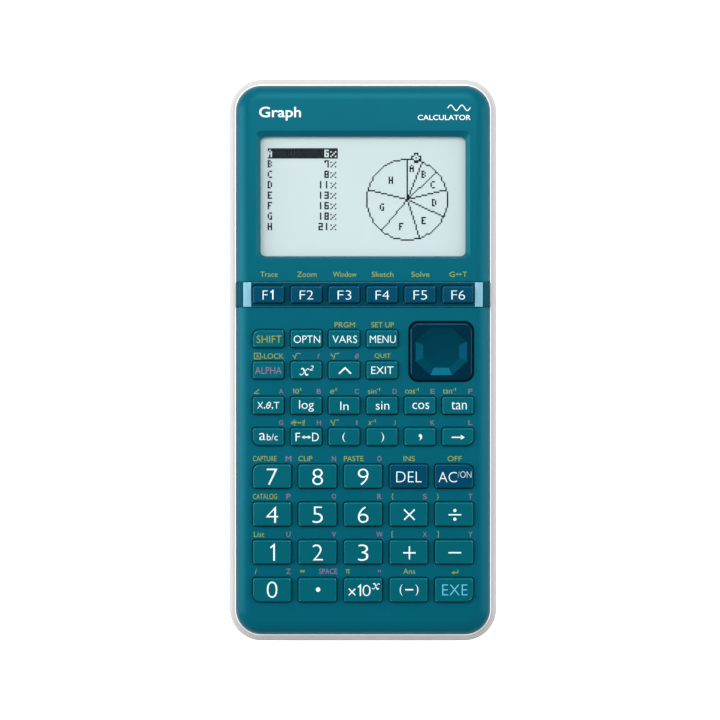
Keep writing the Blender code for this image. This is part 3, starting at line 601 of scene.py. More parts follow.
def makeRearCase(s):
    bm, low, high, belly = outerBelly(s, s["rimRound"])
    cavity = bmesh.new()
    wall = s["rearWall"] + s["rimLap"]
    hollow = roundedFace(cavity, (low.x + wall, low.y + wall), (high.x - wall, high.y - wall),
                         belly + s["rearFloor"], [s["corner"] - wall] * 4, s["cornerSteps"])
    raiseFace(cavity, hollow, high.z, keep=True)
    floor = min(cavity.faces, key=lambda f: f.calc_center_median().z)
    roundEdges(cavity, floor, s["bellyRound"] - wall, 4)

    coverLow, coverHigh, _ = boxOf("battery_cover")
    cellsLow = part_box("battery_1")[0] + Vector((-s["cellSpace"], -s["contactSpace"], 0))
    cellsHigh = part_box("battery_4")[1] + Vector((s["cellSpace"], s["contactSpace"], s["gap"]))
    inner = bmesh.new()
    for x, y in screwPlaces:
        addRod(inner, (x, y), s["postRadius"], belly + s["gap"], s["postTop"])
    for y in s["ribPlaces"]:
        addBox(inner, (-s["ribReach"], y - s["ribWall"] / 2, belly + s["gap"]),
               (s["ribReach"], y + s["ribWall"] / 2, s["ribTop"]))
    wallAround = s["bayWall"]
    addBox(inner, (cellsLow.x - wallAround, cellsLow.y - wallAround, coverHigh.z + 2 * s["gap"]),
           (cellsHigh.x + wallAround, cellsHigh.y + wallAround, cellsHigh.z + s["bayRoof"]))
    feet = bmesh.new()
    for x, y in footPlaces:
        addRod(feet, (x, y), s["footRadius"], low.z, belly + s["footHeight"])
        foot = min((f for f in feet.faces if (f.calc_center_median().xy - Vector((x, y))).length < 1 * mm),
                   key=lambda f: f.calc_center_median().z)
        roundEdges(feet, foot, s["footRound"], 3)
    seat = coverPrism(coverLow, coverHigh, s["gap"], high.y)
    bay = boxCutter((cellsLow.x, cellsLow.y, low.z - 1 * mm), cellsHigh)
    pockets = bmesh.new()
    for x, y in screwPlaces:
        addRod(pockets, (x, y), s["headRadius"], -1 * mm, s["headDepth"])
        addRod(pockets, (x, y), s["shankRadius"], s["headDepth"] - 1 * mm, high.z)
    bm = carve(bm, [("DIFFERENCE", cavity), ("UNION", inner), ("UNION", feet), ("DIFFERENCE", seat),
                    ("DIFFERENCE", bay), ("DIFFERENCE", pockets)])
    # the rim's level top faces take rimPaintedHighlight, a painted highlight that glows
    for face in bm.faces:
        if face.normal.z > levelFace and face.calc_center_median().z > high.z - 0.01 * mm:
            face.material_index = 1
    toPiece("rearShell", bm, ["casePale", "rimPaintedHighlight"], "case", ["rear_case"], recalc=False)


screwShape = {
    "head": 1.7 * mm, "headHeight": 1.2 * mm, "headRound": 0.45 * mm, "roundSteps": 4, "lift": 0.01 * mm,
    "shank": 0.72 * mm, "tip": 10.4 * mm, "cross": 1.15 * mm, "slot": 0.38 * mm, "crossDepth": 0.6 * mm,
}


def makeScrews(s, c):
    bm = bmesh.new()
    armsAlongX, armsAlongY = bmesh.new(), bmesh.new()
    seat = c["headDepth"] - s["lift"]
    under = seat - s["headHeight"]
    for x, y in screwPlaces:
        addRod(bm, (x, y), s["head"], under, seat)
        face = min((f for f in bm.faces if (f.calc_center_median().xy - Vector((x, y))).length < 0.5 * mm),
                   key=lambda f: f.calc_center_median().z)
        roundEdges(bm, face, s["headRound"], s["roundSteps"])
        for arms, reachX, reachY in ((armsAlongX, s["cross"], s["slot"] / 2),
                                     (armsAlongY, s["slot"] / 2, s["cross"])):
            addBox(arms, (x - reachX, y - reachY, under - mm),
                   (x + reachX, y + reachY, under + s["crossDepth"]))
    shanks = bmesh.new()
    for place in screwPlaces:
        addRod(shanks, place, s["shank"], seat - 0.3 * mm, s["tip"])
    bm = carve(bm, [("DIFFERENCE", armsAlongX), ("DIFFERENCE", armsAlongY), ("UNION", shanks)])
    toPiece("caseScrews", bm, ["steel"], "case", recalc=False)


cellShape = {
    "sides": 40, "round": 0.45 * mm, "steps": 4, "band": 9.0 * mm, "seam": 0.01 * mm, "capRadius": 1.85 * mm,
    "capRound": 0.3 * mm, "capHeight": 0.8 * mm, "washer": 4.2 * mm, "rim": 0.18 * mm,
}


def lathe(bm, profile, middle, sides):  # spins (radius, step along Y, finish) stations round a line along Y
    for (radius, along, _), (nextRadius, nextAlong, finish) in zip(profile, profile[1:]):
        earlier = set(bm.faces)
        ends = [bm.verts.new((middle.x + r, middle.y + a, middle.z))
                for r, a in ((radius, along), (nextRadius, nextAlong))]
        bmesh.ops.spin(bm, geom=[*ends, bm.edges.new(ends)], cent=middle, axis=(0, 1, 0), angle=2 * math.pi,
                       steps=sides, use_merge=True)
        for face in set(bm.faces) - earlier:
            face.material_index = finish
    bmesh.ops.remove_doubles(bm, verts=bm.verts, dist=mergeGap)


def makeCell(number, c):
    low, high, middle = boxOf(f"battery_{number}")
    radius = (high.x - low.x) / 2
    half = (high.y - low.y) / 2
    end = half - c["capHeight"]
    jacket, metal, band = 0, 1, 2
    bends = [math.pi / 2 * step / c["steps"] for step in range(c["steps"] + 1)]
    profile = [(0, -half, metal), (c["washer"], -half, metal)]
    profile += [(radius - c["round"] * (1 - math.sin(turn)), -half + c["round"] * (1 - math.cos(turn)), jacket)
                for turn in bends]
    profile += [(radius, end - c["band"], jacket), (radius, end - c["band"] + c["seam"], band)]
    profile += [(radius - c["round"] * (1 - math.cos(turn)), end - c["round"] * (1 - math.sin(turn)), band)
                for turn in bends]
    profile += [(c["washer"], end, band), (c["washer"] - c["rim"], end - c["rim"], band),
                (c["capRadius"] + c["rim"], end - c["rim"], metal), (c["capRadius"], end - c["rim"], metal),
                (c["capRadius"], half - c["capRound"], metal),
                (c["capRadius"] - c["capRound"] * 0.3, half - c["capRound"] * 0.3, metal),
                (c["capRadius"] - c["capRound"], half, metal), (0, half, metal)]
    bm = bmesh.new()
    lathe(bm, profile, middle, c["sides"])
    toPiece(f"cell_{number}", bm, ["cellJacket", "steel", "cellBand"], "case",
            [f"battery_{number}"])


contactShape = {
    "plate": 0.3 * mm, "inset": 0.6 * mm, "tail": 1.1 * mm, "wire": 0.22 * mm, "wireSides": 8, "turns": 3.5,
    "steps": 28, "wide": 3.3 * mm, "narrow": 2.1 * mm, "rest": 0.04 * mm, "knob": 1.5 * mm, "knobEdge": 0.3 * mm,
    "knobSides": 24,
}


def addSpring(bm, foot, length, c):  # a narrowing coil along +Y
    count = int(c["turns"] * c["steps"])
    last = None
    for index in range(count + 1):
        part = index / count
        turn = 2 * math.pi * c["turns"] * part
        coil = c["wide"] + (c["narrow"] - c["wide"]) * part
        outward = Vector((math.cos(turn), 0, math.sin(turn)))
        middle = foot + outward * coil + Vector((0, c["wire"] + (length - 2 * c["wire"]) * part, 0))
        ring = [bm.verts.new(middle + c["wire"] * (math.cos(a) * outward + math.sin(a) * Vector((0, 1, 0))))
                for a in (2 * math.pi * side / c["wireSides"] for side in range(c["wireSides"]))]
        if last:
            for side in range(c["wireSides"]):
                after = (side + 1) % c["wireSides"]
                bm.faces.new([last[side], last[after], ring[after], ring[side]])
        else:
            bm.faces.new(ring)
        last = ring
    bm.faces.new(last)


def makeContacts(c, s):
    bm = bmesh.new()
    for number in range(1, 5):
        low, high, middle = boxOf(f"battery_{number}")
        half = (high.x - low.x) / 2 - c["inset"]
        near, far = low.y - s["contactSpace"] + c["rest"], high.y + s["contactSpace"] - c["rest"]
        for plateStart in (near, far - c["plate"]):
            addBox(bm, (middle.x - half, plateStart, low.z + c["tail"]),
                   (middle.x + half, plateStart + c["plate"], high.z - c["rest"]))
        addSpring(bm, Vector((middle.x, near + c["plate"] + c["rest"], middle.z)),
                  low.y - near - c["plate"] - 2 * c["rest"], c)
        stations = ((0, high.y + c["rest"]), (c["knob"] * 0.8, high.y + c["rest"]),
                    (c["knob"], high.y + c["knobEdge"]), (c["knob"] * 1.2, far - c["plate"] - c["rest"]),
                    (0, far - c["plate"] - c["rest"]))
        lathe(bm, [(radius, y - middle.y, 0) for radius, y in stations], middle, c["knobSides"])
    toPiece("cellContacts", bm, ["steel"], "case")


def coverPrism(low, high, gap, endY):  # the dovetail the battery cover fills, or with a gap its seat
    bm = bmesh.new()
    half = high.x + 2 * gap
    top = high.z + gap
    foot = half - top
    section = [bm.verts.new((x, low.y - gap, z)) for x, z in
               ((-foot, 0), (foot, 0), (half, top), (-half, top))]
    extruded = bmesh.ops.extrude_face_region(bm, geom=[bm.faces.new(section)], use_keep_orig=True)["geom"]
    bmesh.ops.translate(bm, vec=(0, endY + 1 * mm - low.y + gap, 0),
                        verts=[g for g in extruded if isinstance(g, bmesh.types.BMVert)])
    return bm


gripShape = {"count": 5, "pitch": 1.6 * mm, "reach": 7.4 * mm, "radius": 0.55 * mm, "depth": 0.3 * mm,
             "firstGap": 7.6 * mm, "arrowWidth": 5.0 * mm, "arrowLength": 3.4 * mm, "arrowDepth": 0.25 * mm,
             "arrowY": 66 * mm}


def makeBatteryCover(s, g):
    low, high, _ = boxOf("battery_cover")
    bm, _, caseHigh, belly = outerBelly(s, 0)
    grips = bmesh.new()
    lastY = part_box("battery_1")[1].y + s["contactSpace"]
    for index in range(g["count"]):
        y = lastY - g["firstGap"] + index * g["pitch"]
        made = addRod(grips, (0, 0), g["radius"], -g["reach"], g["reach"])
        bmesh.ops.rotate(grips, cent=(0, 0, 0), matrix=Matrix.Rotation(math.radians(90), 3, "Y"), verts=made)
        bmesh.ops.translate(grips, vec=(0, y, belly + g["depth"] - g["radius"]), verts=made)
    arrow = bmesh.new()
    corners = ((-g["arrowWidth"] / 2, 0), (g["arrowWidth"] / 2, 0), (0, g["arrowLength"]))
    point = arrow.faces.new([arrow.verts.new((x, g["arrowY"] + y, -1 * mm)) for x, y in corners])
    raiseFace(arrow, point, 1 * mm + belly + g["arrowDepth"], keep=True)
    door = coverPrism(low, high, 0, caseHigh.y)
    bm = carve(bm, [("INTERSECT", door), ("DIFFERENCE", grips), ("DIFFERENCE", arrow)])
    toPiece("batteryDoor", bm, ["casePale"], "battery_cover", ["battery_cover"], recalc=False)


# the x range on the strip's shoulders where the painted reflection band lies
paintedReflectionEdges = (34.8 * mm, 37.2 * mm)


def makeFunctionStrip(s):
    low, high, middle = boxOf("function_strip")
    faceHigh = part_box("front_case")[1].z
    outer = shoulderedSolid(s, high.z - faceHigh, low.z - 3 * mm)
    inner = shoulderedSolid(s, -s["grooveSink"] + s["gap"], low.z - 4 * mm)
    slab = boxCutter((2 * low.x, low.y, low.z), (2 * high.x, high.y, high.z + mm))
    bm = carve(outer, [("INTERSECT", slab), ("DIFFERENCE", inner)])
    # the bevels along the strip's long edges get material 2, stripEdgeHighlight, a painted highlight line; its ends
    # lose it again below
    ends = [e for e in bm.edges if abs(abs(e.verts[0].co.y - middle.y) - (high.y - middle.y)) < tiny
            and abs(e.verts[0].co.y - e.verts[1].co.y) < tiny
            and min(v.co.z for v in e.verts) > low.z + 0.1 * mm and outerEdge(e, faceHigh, s)]
    bmesh.ops.bevel(bm, geom=ends, offset=s["stripEdge"], offset_type="OFFSET", affect="EDGES", segments=3,
                    profile=0.5, clamp_overlap=True, material=2)
    for x in paintedReflectionEdges:
        for side in (-1, 1):
            geom = list(bm.verts) + list(bm.edges) + list(bm.faces)
            bmesh.ops.bisect_plane(bm, geom=geom, dist=mergeGap, plane_co=(side * x, 0, 0),
                                   plane_no=(1, 0, 0))
    bm = carve(bm, [("DIFFERENCE", keyHoles(functionKeys, s, high.z, faceHigh - 2 * mm))])
    # top faces between these edges get facetPaintedReflection, the painted reflection; faces farther out keep the
    # plain strip plastic, without the painted edge highlight
    for face in bm.faces:
        centre = face.calc_center_median()
        onTop = face.normal.z > 0.5 and centre.z > faceHigh - mm
        if onTop and paintedReflectionEdges[0] < abs(centre.x) < paintedReflectionEdges[1]:
            face.material_index = 1
        elif abs(centre.x) > paintedReflectionEdges[0]:
            face.material_index = 0
    toPiece("functionStripTrim", bm, ["stripBlue", "facetPaintedReflection", "stripEdgeHighlight"], "case",
            ["function_strip"], recalc=False)


def outerEdge(edge, faceHigh, s):  # true where an edge lies on the strip's outer surface
    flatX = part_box("front_case")[1].x - s["shoulderWidth"]
    for vert in edge.verts:
        x = abs(vert.co.x)
        if x <= flatX and vert.co.z < faceHigh:
            return False
        if x > flatX:
            across = (x - flatX) / s["shoulderWidth"]
            drop = vert.co.z - (faceHigh - s["shoulderDrop"])
            if across < 1.0 and across ** 2 + (max(drop, 0) / s["shoulderDrop"]) ** 2 < 1.0:
                return False
    return True


def makePad(p):
    low, high, middle = boxOf("cursor_pad")
    bm, top = steppedSlab(low, high, [p["corner"] + p["flangeLap"]] * 4, p)
    shrink = 1 - 2 * p["draft"] / (high.x - low.x)
    bmesh.ops.scale(bm, vec=(shrink, shrink, 1), verts=top.verts, space=Matrix.Translation(-middle))
    roundEdges(bm, top, p["edge"], p["edgeSteps"])
    dish = bmesh.new()
    half = 1 / math.cos(math.pi / 8) / 2
    bmesh.ops.create_cone(dish, cap_ends=True, segments=8, radius1=1, radius2=1, depth=p["dish"])
    for vert in dish.verts:
        isTop = vert.co.z > 0
        turn = math.atan2(vert.co.y, vert.co.x) + math.pi / 8
        width = p["ringWidth"] if isTop else p["floorWidth"]
        length = p["ringLength"] if isTop else p["floorLength"]
        vert.co.x = middle.x + math.cos(turn) * width * half
        vert.co.y = middle.y + math.sin(turn) * length * half
        vert.co.z += high.z - p["dish"] / 2
    dish.faces.ensure_lookup_table()
    lid = max(dish.faces, key=lambda f: f.calc_center_median().z)
    raiseFace(dish, lid, 1 * mm)
    bottom = min(dish.faces, key=lambda f: f.calc_center_median().z)
    bmesh.ops.recalc_face_normals(dish, faces=dish.faces)
    bmesh.ops.poke(dish, faces=[bottom], offset=p["cone"])
    bm = carve(bm, [("DIFFERENCE", dish)])
    # faces in the dish get padDishSheen, a painted sheen on the pad's recess
    for face in bm.faces:
        centre = face.calc_center_median()
        inRing = (centre - middle).xy.length < p["ringWidth"] / 2
        if inRing and centre.z < high.z - 0.01 * mm and face.normal.z > 0.5:
            face.material_index = 1
    toPiece("cursorPadCap", bm, ["padBlue", "padDishSheen"], "cursor_pad", ["cursor_pad"], sharp=12,
            recalc=False)


inkShape = {"thick": 0.020 * mm, "sunk": 0.006 * mm, "weight": -0.002, "resolution": 4, "stroke": 0.36 * mm,
            "lean": 0.28, "tall": 2.7 * mm, "lighter": -0.017, "slim": -0.009, "word": 1.9 * mm}
letterCache = {}


def letterMesh(text, weight):  # letters from the built-in font as a closed flat mesh, kept for later copies
    if (text, weight) not in letterCache:
        curve = bpy.data.curves.new("letters", "FONT")
        curve.body = text
        curve.offset = weight
        curve.extrude = 0.01
        curve.resolution_u = inkShape["resolution"]
        holder = bpy.data.objects.new("letters", curve)
        scene.collection.objects.link(holder)
        bpy.context.view_layer.update()
        flat = bpy.data.meshes.new_from_object(holder)
        bm = bmesh.new()
        bm.from_mesh(flat)
        bmesh.ops.remove_doubles(bm, verts=bm.verts, dist=0.0002)
        bm.to_mesh(flat)
        bm.free()
        letterCache[text, weight] = flat
        bpy.data.objects.remove(holder)
        bpy.data.curves.remove(curve)
    return letterCache[text, weight]


def addLetters(bm, text, middle, size, z, lean=0.0, weight=None):
    if weight is None:
        weight = (inkShape["weight"] if size[1] < inkShape["word"] else
                  inkShape["slim"] if size[1] < inkShape["tall"] or text.islower() else inkShape["lighter"])
    letters = letterMesh(text, weight).copy()
    places = [Vector((v.co.x + lean * v.co.y, v.co.y, v.co.z)) for v in letters.vertices]
    lowX, highX = min(v.x for v in places), max(v.x for v in places)
    lowY, highY = min(v.y for v in places), max(v.y for v in places)
    for vert, place in zip(letters.vertices, places):
        vert.co = (middle[0] + (place.x - (lowX + highX) / 2) * size[0] / (highX - lowX),
                   middle[1] + (place.y - (lowY + highY) / 2) * size[1] / (highY - lowY),
                   z - inkShape["sunk"] if place.z < 0 else z + inkShape["thick"])
    bm.from_mesh(letters)
    bpy.data.meshes.remove(letters)


def addStroke(bm, points, width, z, closed=False):  # A flat closed ribbon along points, with mitred turns
    count = len(points)
    places = [Vector(point) for point in points]
    left, right = [], []
    for index, place in enumerate(places):
        before = places[index - 1] if index or closed else None
        after = places[(index + 1) % count] if index < count - 1 or closed else None
        normals = [Vector((-(b - a).y, (b - a).x)).normalized()
                   for a, b in ((before, place), (place, after)) if a is not None and b is not None]
        normal = sum(normals, Vector((0, 0))).normalized()
        reach = width / 2 / max(normal.dot(normals[0]), 0.35)
        left.append(place + normal * reach)
        right.append(place - normal * reach)
    low, high = z - inkShape["sunk"], z + inkShape["thick"]
    rings = [[bm.verts.new((p.x, p.y, level)) for p, level in ((r, low), (l, low), (l, high), (r, high))]
             for l, r in zip(left, right)]
    for a, b in zip(rings, rings[1:] + rings[:1] if closed else rings[1:]):
        for corner in range(4):
            following = (corner + 1) % 4
            bm.faces.new((a[corner], a[following], b[following], b[corner]))
    if not closed:
        bm.faces.new(list(reversed(rings[0])))
        bm.faces.new(rings[-1])


def addDot(bm, middle, radius, z):
    made = addRod(bm, middle, radius, z - inkShape["sunk"], z + inkShape["thick"])
    return made


def ringPoints(middle, width, height, count=28, lean=0.0):
    turns = [2 * math.pi * step / count for step in range(count)]
    return [(middle[0] + width / 2 * math.cos(t) + lean * height / 2 * math.sin(t),
             middle[1] + height / 2 * math.sin(t)) for t in turns]


def addArrow(bm, start, end, width, head, z):
    start, end = Vector(start), Vector(end)
    along = (end - start).normalized()
    across = Vector((-along.y, along.x))
    base = end - along * head
    addStroke(bm, [start, base + along * head * 0.2], width, z)
    low, high = z - inkShape["sunk"], z + inkShape["thick"]
    corners = [base + across * head * 0.6, base - across * head * 0.6, end]
    rings = [[bm.verts.new((p.x, p.y, level)) for p in corners] for level in (low, high)]
    bm.faces.new(list(reversed(rings[0])))
    bm.faces.new(rings[1])
    for corner in range(3):
        following = (corner + 1) % 3
        bm.faces.new((rings[0][corner], rings[0][following], rings[1][following], rings[1][corner]))


def drawGlyph(bm, kind, middle, size, z, stroke):
    x, y = middle
    w, h = size[0] / 2, size[1] / 2
    if kind == "variable":
        stem = [(-0.44, 0.36), (-0.34, 0.47), (-0.20, 0.44), (-0.08, 0.16), (0.08, -0.16), (0.20, -0.44),
                (0.34, -0.47), (0.46, -0.34)]
        hair = [(0.46, 0.40), (0.34, 0.46), (0.22, 0.36), (-0.22, -0.36), (-0.36, -0.46), (-0.48, -0.40)]
        slant = 0.12 * size[1]
        for path, width in ((stem, stroke), (hair, stroke * 0.55)):
            addStroke(bm, [(x + a * size[0] + b * slant, y + b * size[1]) for a, b in path], width, z)
        for a, b in (hair[0], hair[-1]):
            addDot(bm, (x + a * size[0] + b * slant, y + b * size[1] - math.copysign(stroke * 0.3, b)),
                   stroke * 0.5, z)
    elif kind == "one":
        addStroke(bm, [(x - w * 0.5, y + h * 0.60), (x + w * 0.45, y + h * 0.95), (x + w * 0.45, y - h)], stroke, z)
    elif kind == "theta":
        addStroke(bm, ringPoints(middle, size[0] - stroke, size[1] - stroke, lean=0.3), stroke, z, closed=True)
        addStroke(bm, [(x - w * 0.7, y), (x + w * 0.7, y)], stroke, z)
    elif kind == "equal":
        for level in (-0.5, 0.5):
            addStroke(bm, [(x - w, y + h * level), (x + w, y + h * level)], stroke, z)
    elif kind == "caret":
        addStroke(bm, [(x - w, y - h), (x, y + h * 0.8), (x + w, y - h)], stroke, z)
    elif kind == "root":
        addStroke(bm, [(x - w, y + h * 0.1), (x - w * 0.72, y + h * 0.2), (x - w * 0.4, y - h),
                       (x - w * 0.05, y + h), (x + w, y + h)], stroke, z)
    elif kind == "pi":
        addStroke(bm, [(x - w, y + h * 0.8), (x + w, y + h * 0.8)], stroke, z)
        addStroke(bm, [(x - w * 0.4, y + h * 0.8), (x - w * 0.5, y - h)], stroke, z)
        addStroke(bm, [(x + w * 0.4, y + h * 0.8), (x + w * 0.4, y - h * 0.7), (x + w * 0.8, y - h)], stroke, z)
    elif kind == "angle":
        addStroke(bm, [(x + w, y + h), (x - w, y - h), (x + w, y - h)], stroke, z)
    elif kind == "enter":
        addStroke(bm, [(x + w, y + h), (x + w, y - h * 0.2 - stroke / 2)], stroke, z)
        addArrow(bm, (x + w - stroke / 2, y - h * 0.2), (x - w, y - h * 0.2), stroke, size[0] * 0.45, z)
    elif kind == "right":
        addArrow(bm, (x - w, y), (x + w, y), stroke, size[1] * 0.95, z)
    elif kind == "both":
        addArrow(bm, (x, y), (x + w, y), stroke, size[1] * 0.7, z)
        addArrow(bm, (x, y), (x - w, y), stroke, size[1] * 0.7, z)
    elif kind == "times":
        addStroke(bm, [(x - w, y - h), (x + w, y + h)], stroke, z)
        clear = stroke / 2 / math.hypot(w, h)
        for side in (-1, 1):
            addStroke(bm, [(x + side * w * clear, y - side * h * clear), (x + side * w, y - side * h)], stroke, z)
    elif kind == "plus":
        addStroke(bm, [(x - w, y), (x + w, y)], stroke, z)
        for side in (-1, 1):
            addStroke(bm, [(x, y + side * stroke / 2), (x, y + side * h)], stroke, z)
    elif kind == "minus":
        addStroke(bm, [(x - w, y), (x + w, y)], stroke, z)
    elif kind == "divide":
        addStroke(bm, [(x - w, y), (x + w, y)], stroke, z)
        addDot(bm, (x, y + h * 0.74), stroke * 1.25, z)
        addDot(bm, (x, y - h * 0.74), stroke * 1.25, z)
    elif kind == "point":
        addDot(bm, middle, w, z)
    elif kind == "frame":
        addStroke(bm, [(x - w, y - h), (x + w, y - h), (x + w, y + h), (x - w, y + h)], stroke, z, closed=True)


glyphKinds = {"variable", "equal", "one", "theta", "caret", "root", "pi", "angle", "enter", "right", "both", "times",
              "plus", "minus", "divide", "point", "frame"}


def addSign(bm, sign, middle, size, z, stroke, weight=None):
    if sign in glyphKinds:
        drawGlyph(bm, sign, middle, size, z, stroke)
    elif sign[0] == "~":
        addLetters(bm, sign[1:], middle, size, z, lean=inkShape["lean"])
    else:
        addLetters(bm, sign, middle, size, z, weight=weight)


large = (0.05, -0.18, 5.06)     # step right, step up and height of a digit, mm
lastRow = {"nodes": ("key_0", "key_point", "key_exponent", "key_negative", "key_execute"),
           "rise": 0.28}                                # printed this much higher, mm
capSigns = {  # key: [(sign, step right, step up, width, height, stroke or weight)], mm from the middle of the cap
    "key_f1": [("F", -0.95, -0.19, 1.55, 2.82, 0), ("one", 1.10, -0.19, 1.5, 2.82, 0.42)],
    **{f"key_f{n}": [(f"F{n}", 0.12, -0.19, 4.2, 2.82, 0)] for n in range(2, 7)},
    "key_shift": [("SHIFT", 0.30, -0.18, 7.74, 2.28, 0)],
    "key_options": [("OPTN", 0.25, -0.18, 8.2, 2.32, 0)],
    "key_variables": [("VARS", 0.24, -0.18, 7.64, 2.28, 0)],
    "key_menu": [("MENU", 0.24, -0.18, 8.0, 2.28, 0)],
    "key_alpha": [("ALPHA", 0.05, -0.13, 8.2, 2.13, 0)],
    "key_square": [("variable", -0.46, -0.54, 2.6, 2.2, 0.38), ("~2", 1.67, 0.63, 1.3, 1.5, 0)],
    "key_power": [("caret", 0.29, -0.13, 3.7, 2.0, 0.45)],
    "key_exit": [("EXIT", 0.10, -0.05, 6.83, 2.28, 0)],
    "key_variable_x": [("X", -2.48, 0.04, 1.87, 2.02, 0), (",", -1.16, -0.87, 0.40, 0.7, 0),
                       ("theta", 0.12, 0.04, 1.35, 2.1, 0.24), (",", 1.30, -0.87, 0.40, 0.7, 0),
                       ("T", 2.60, 0.04, 1.8, 2.02, 0)],
    "key_log": [("log", 0.10, -0.16, 4.55, 3.54, 0)],
    "key_ln": [("ln", 0.12, -0.14, 2.53, 2.6, 0)],
    "key_sin": [("sin", 0.16, -0.06, 4.2, 2.5, 0)],
    "key_cos": [("cos", 0.28, -0.16, 5.2, 1.95, 0)],
    "key_tan": [("tan", 0.35, -0.06, 4.8, 2.4, 0)],
    "key_fraction": [("a", -1.82, 0.04, 1.87, 2.2, 0), ("b/c", 1.30, -0.11, 3.4, 2.05, 0)],
    "key_decimal_toggle": [("F", -2.58, -0.09, 1.4, 2.58, 0), ("both", 0.08, -0.16, 2.9, 1.3, 0.36),
                           ("D", 2.90, -0.09, 2.05, 2.58, 0)],
    "key_open_bracket": [("(", -0.06, -0.20, 0.9, 3.0, 0)],
    "key_close_bracket": [(")", 0.19, -0.20, 0.9, 3.0, 0)],
    "key_comma": [(",", 0.16, -0.20, 1.05, 1.9, 0)],
    "key_store": [("right", 0.13, -0.20, 4.05, 1.3, 0.38)],
    "key_7": [("7", *large[:2], 3.3, large[2], 0)],
    "key_8": [("8", *large[:2], 3.3, large[2], 0)],
    "key_9": [("9", *large[:2], 3.3, large[2], 0)],
    "key_delete": [("DEL", 0.11, -0.20, 7.84, 3.3, 0)],
    "key_clear_on": [("AC", -1.98, -0.28, 5.7, 3.2, 0), ("/ON", 3.25, 0.52, 4.2, 2.0, -0.022)],
    "key_4": [("4", *large[:2], 3.7, large[2], 0)],
    "key_5": [("5", *large[:2], 3.2, large[2], 0)],
    "key_6": [("6", *large[:2], 3.3, large[2], 0)],
    "key_multiply": [("times", 0.24, -0.16, 3.3, 3.2, 0.42)],
    "key_divide": [("divide", 0.22, -0.20, 3.95, 3.6, 0.40)],
    "key_1": [("one", 0.15, -0.18, 2.3, large[2], 0.50)],
    "key_2": [("2", *large[:2], 3.2, large[2], 0)],
    "key_3": [("3", *large[:2], 3.2, large[2], 0)],
    "key_plus": [("plus", 0.26, -0.24, 3.9, 4.0, 0.42)],
    "key_minus": [("minus", 0.22, -0.20, 3.95, 1.0, 0.42)],
    "key_0": [("0", *large[:2], 3.3, large[2], 0)],
    "key_point": [("point", 0.17, -0.15, 1.4, 1.4, 0)],
    "key_exponent": [("times", -3.40, -0.90, 2.0, 2.0, 0.34), ("one", -1.15, -0.45, 1.5, 3.4, 0.42),
                     ("0", 1.10, -0.45, 2.5, 3.45, 0), ("variable", 4.0, 0.85, 2.1, 1.9, 0.31)],
    "key_negative": [("(", -2.30, -0.30, 0.9, 3.6, 0), ("minus", 0.20, -0.20, 2.5, 1.0, 0.40),
                     (")", 2.60, -0.30, 0.9, 3.6, 0)],
    "key_execute": [("EXE", 0.24, -0.25, 7.84, 3.34, 0)],
}
capInks = {"key_shift": "yellowInk", "key_alpha": "pinkInk", "key_execute": "blueInk"}

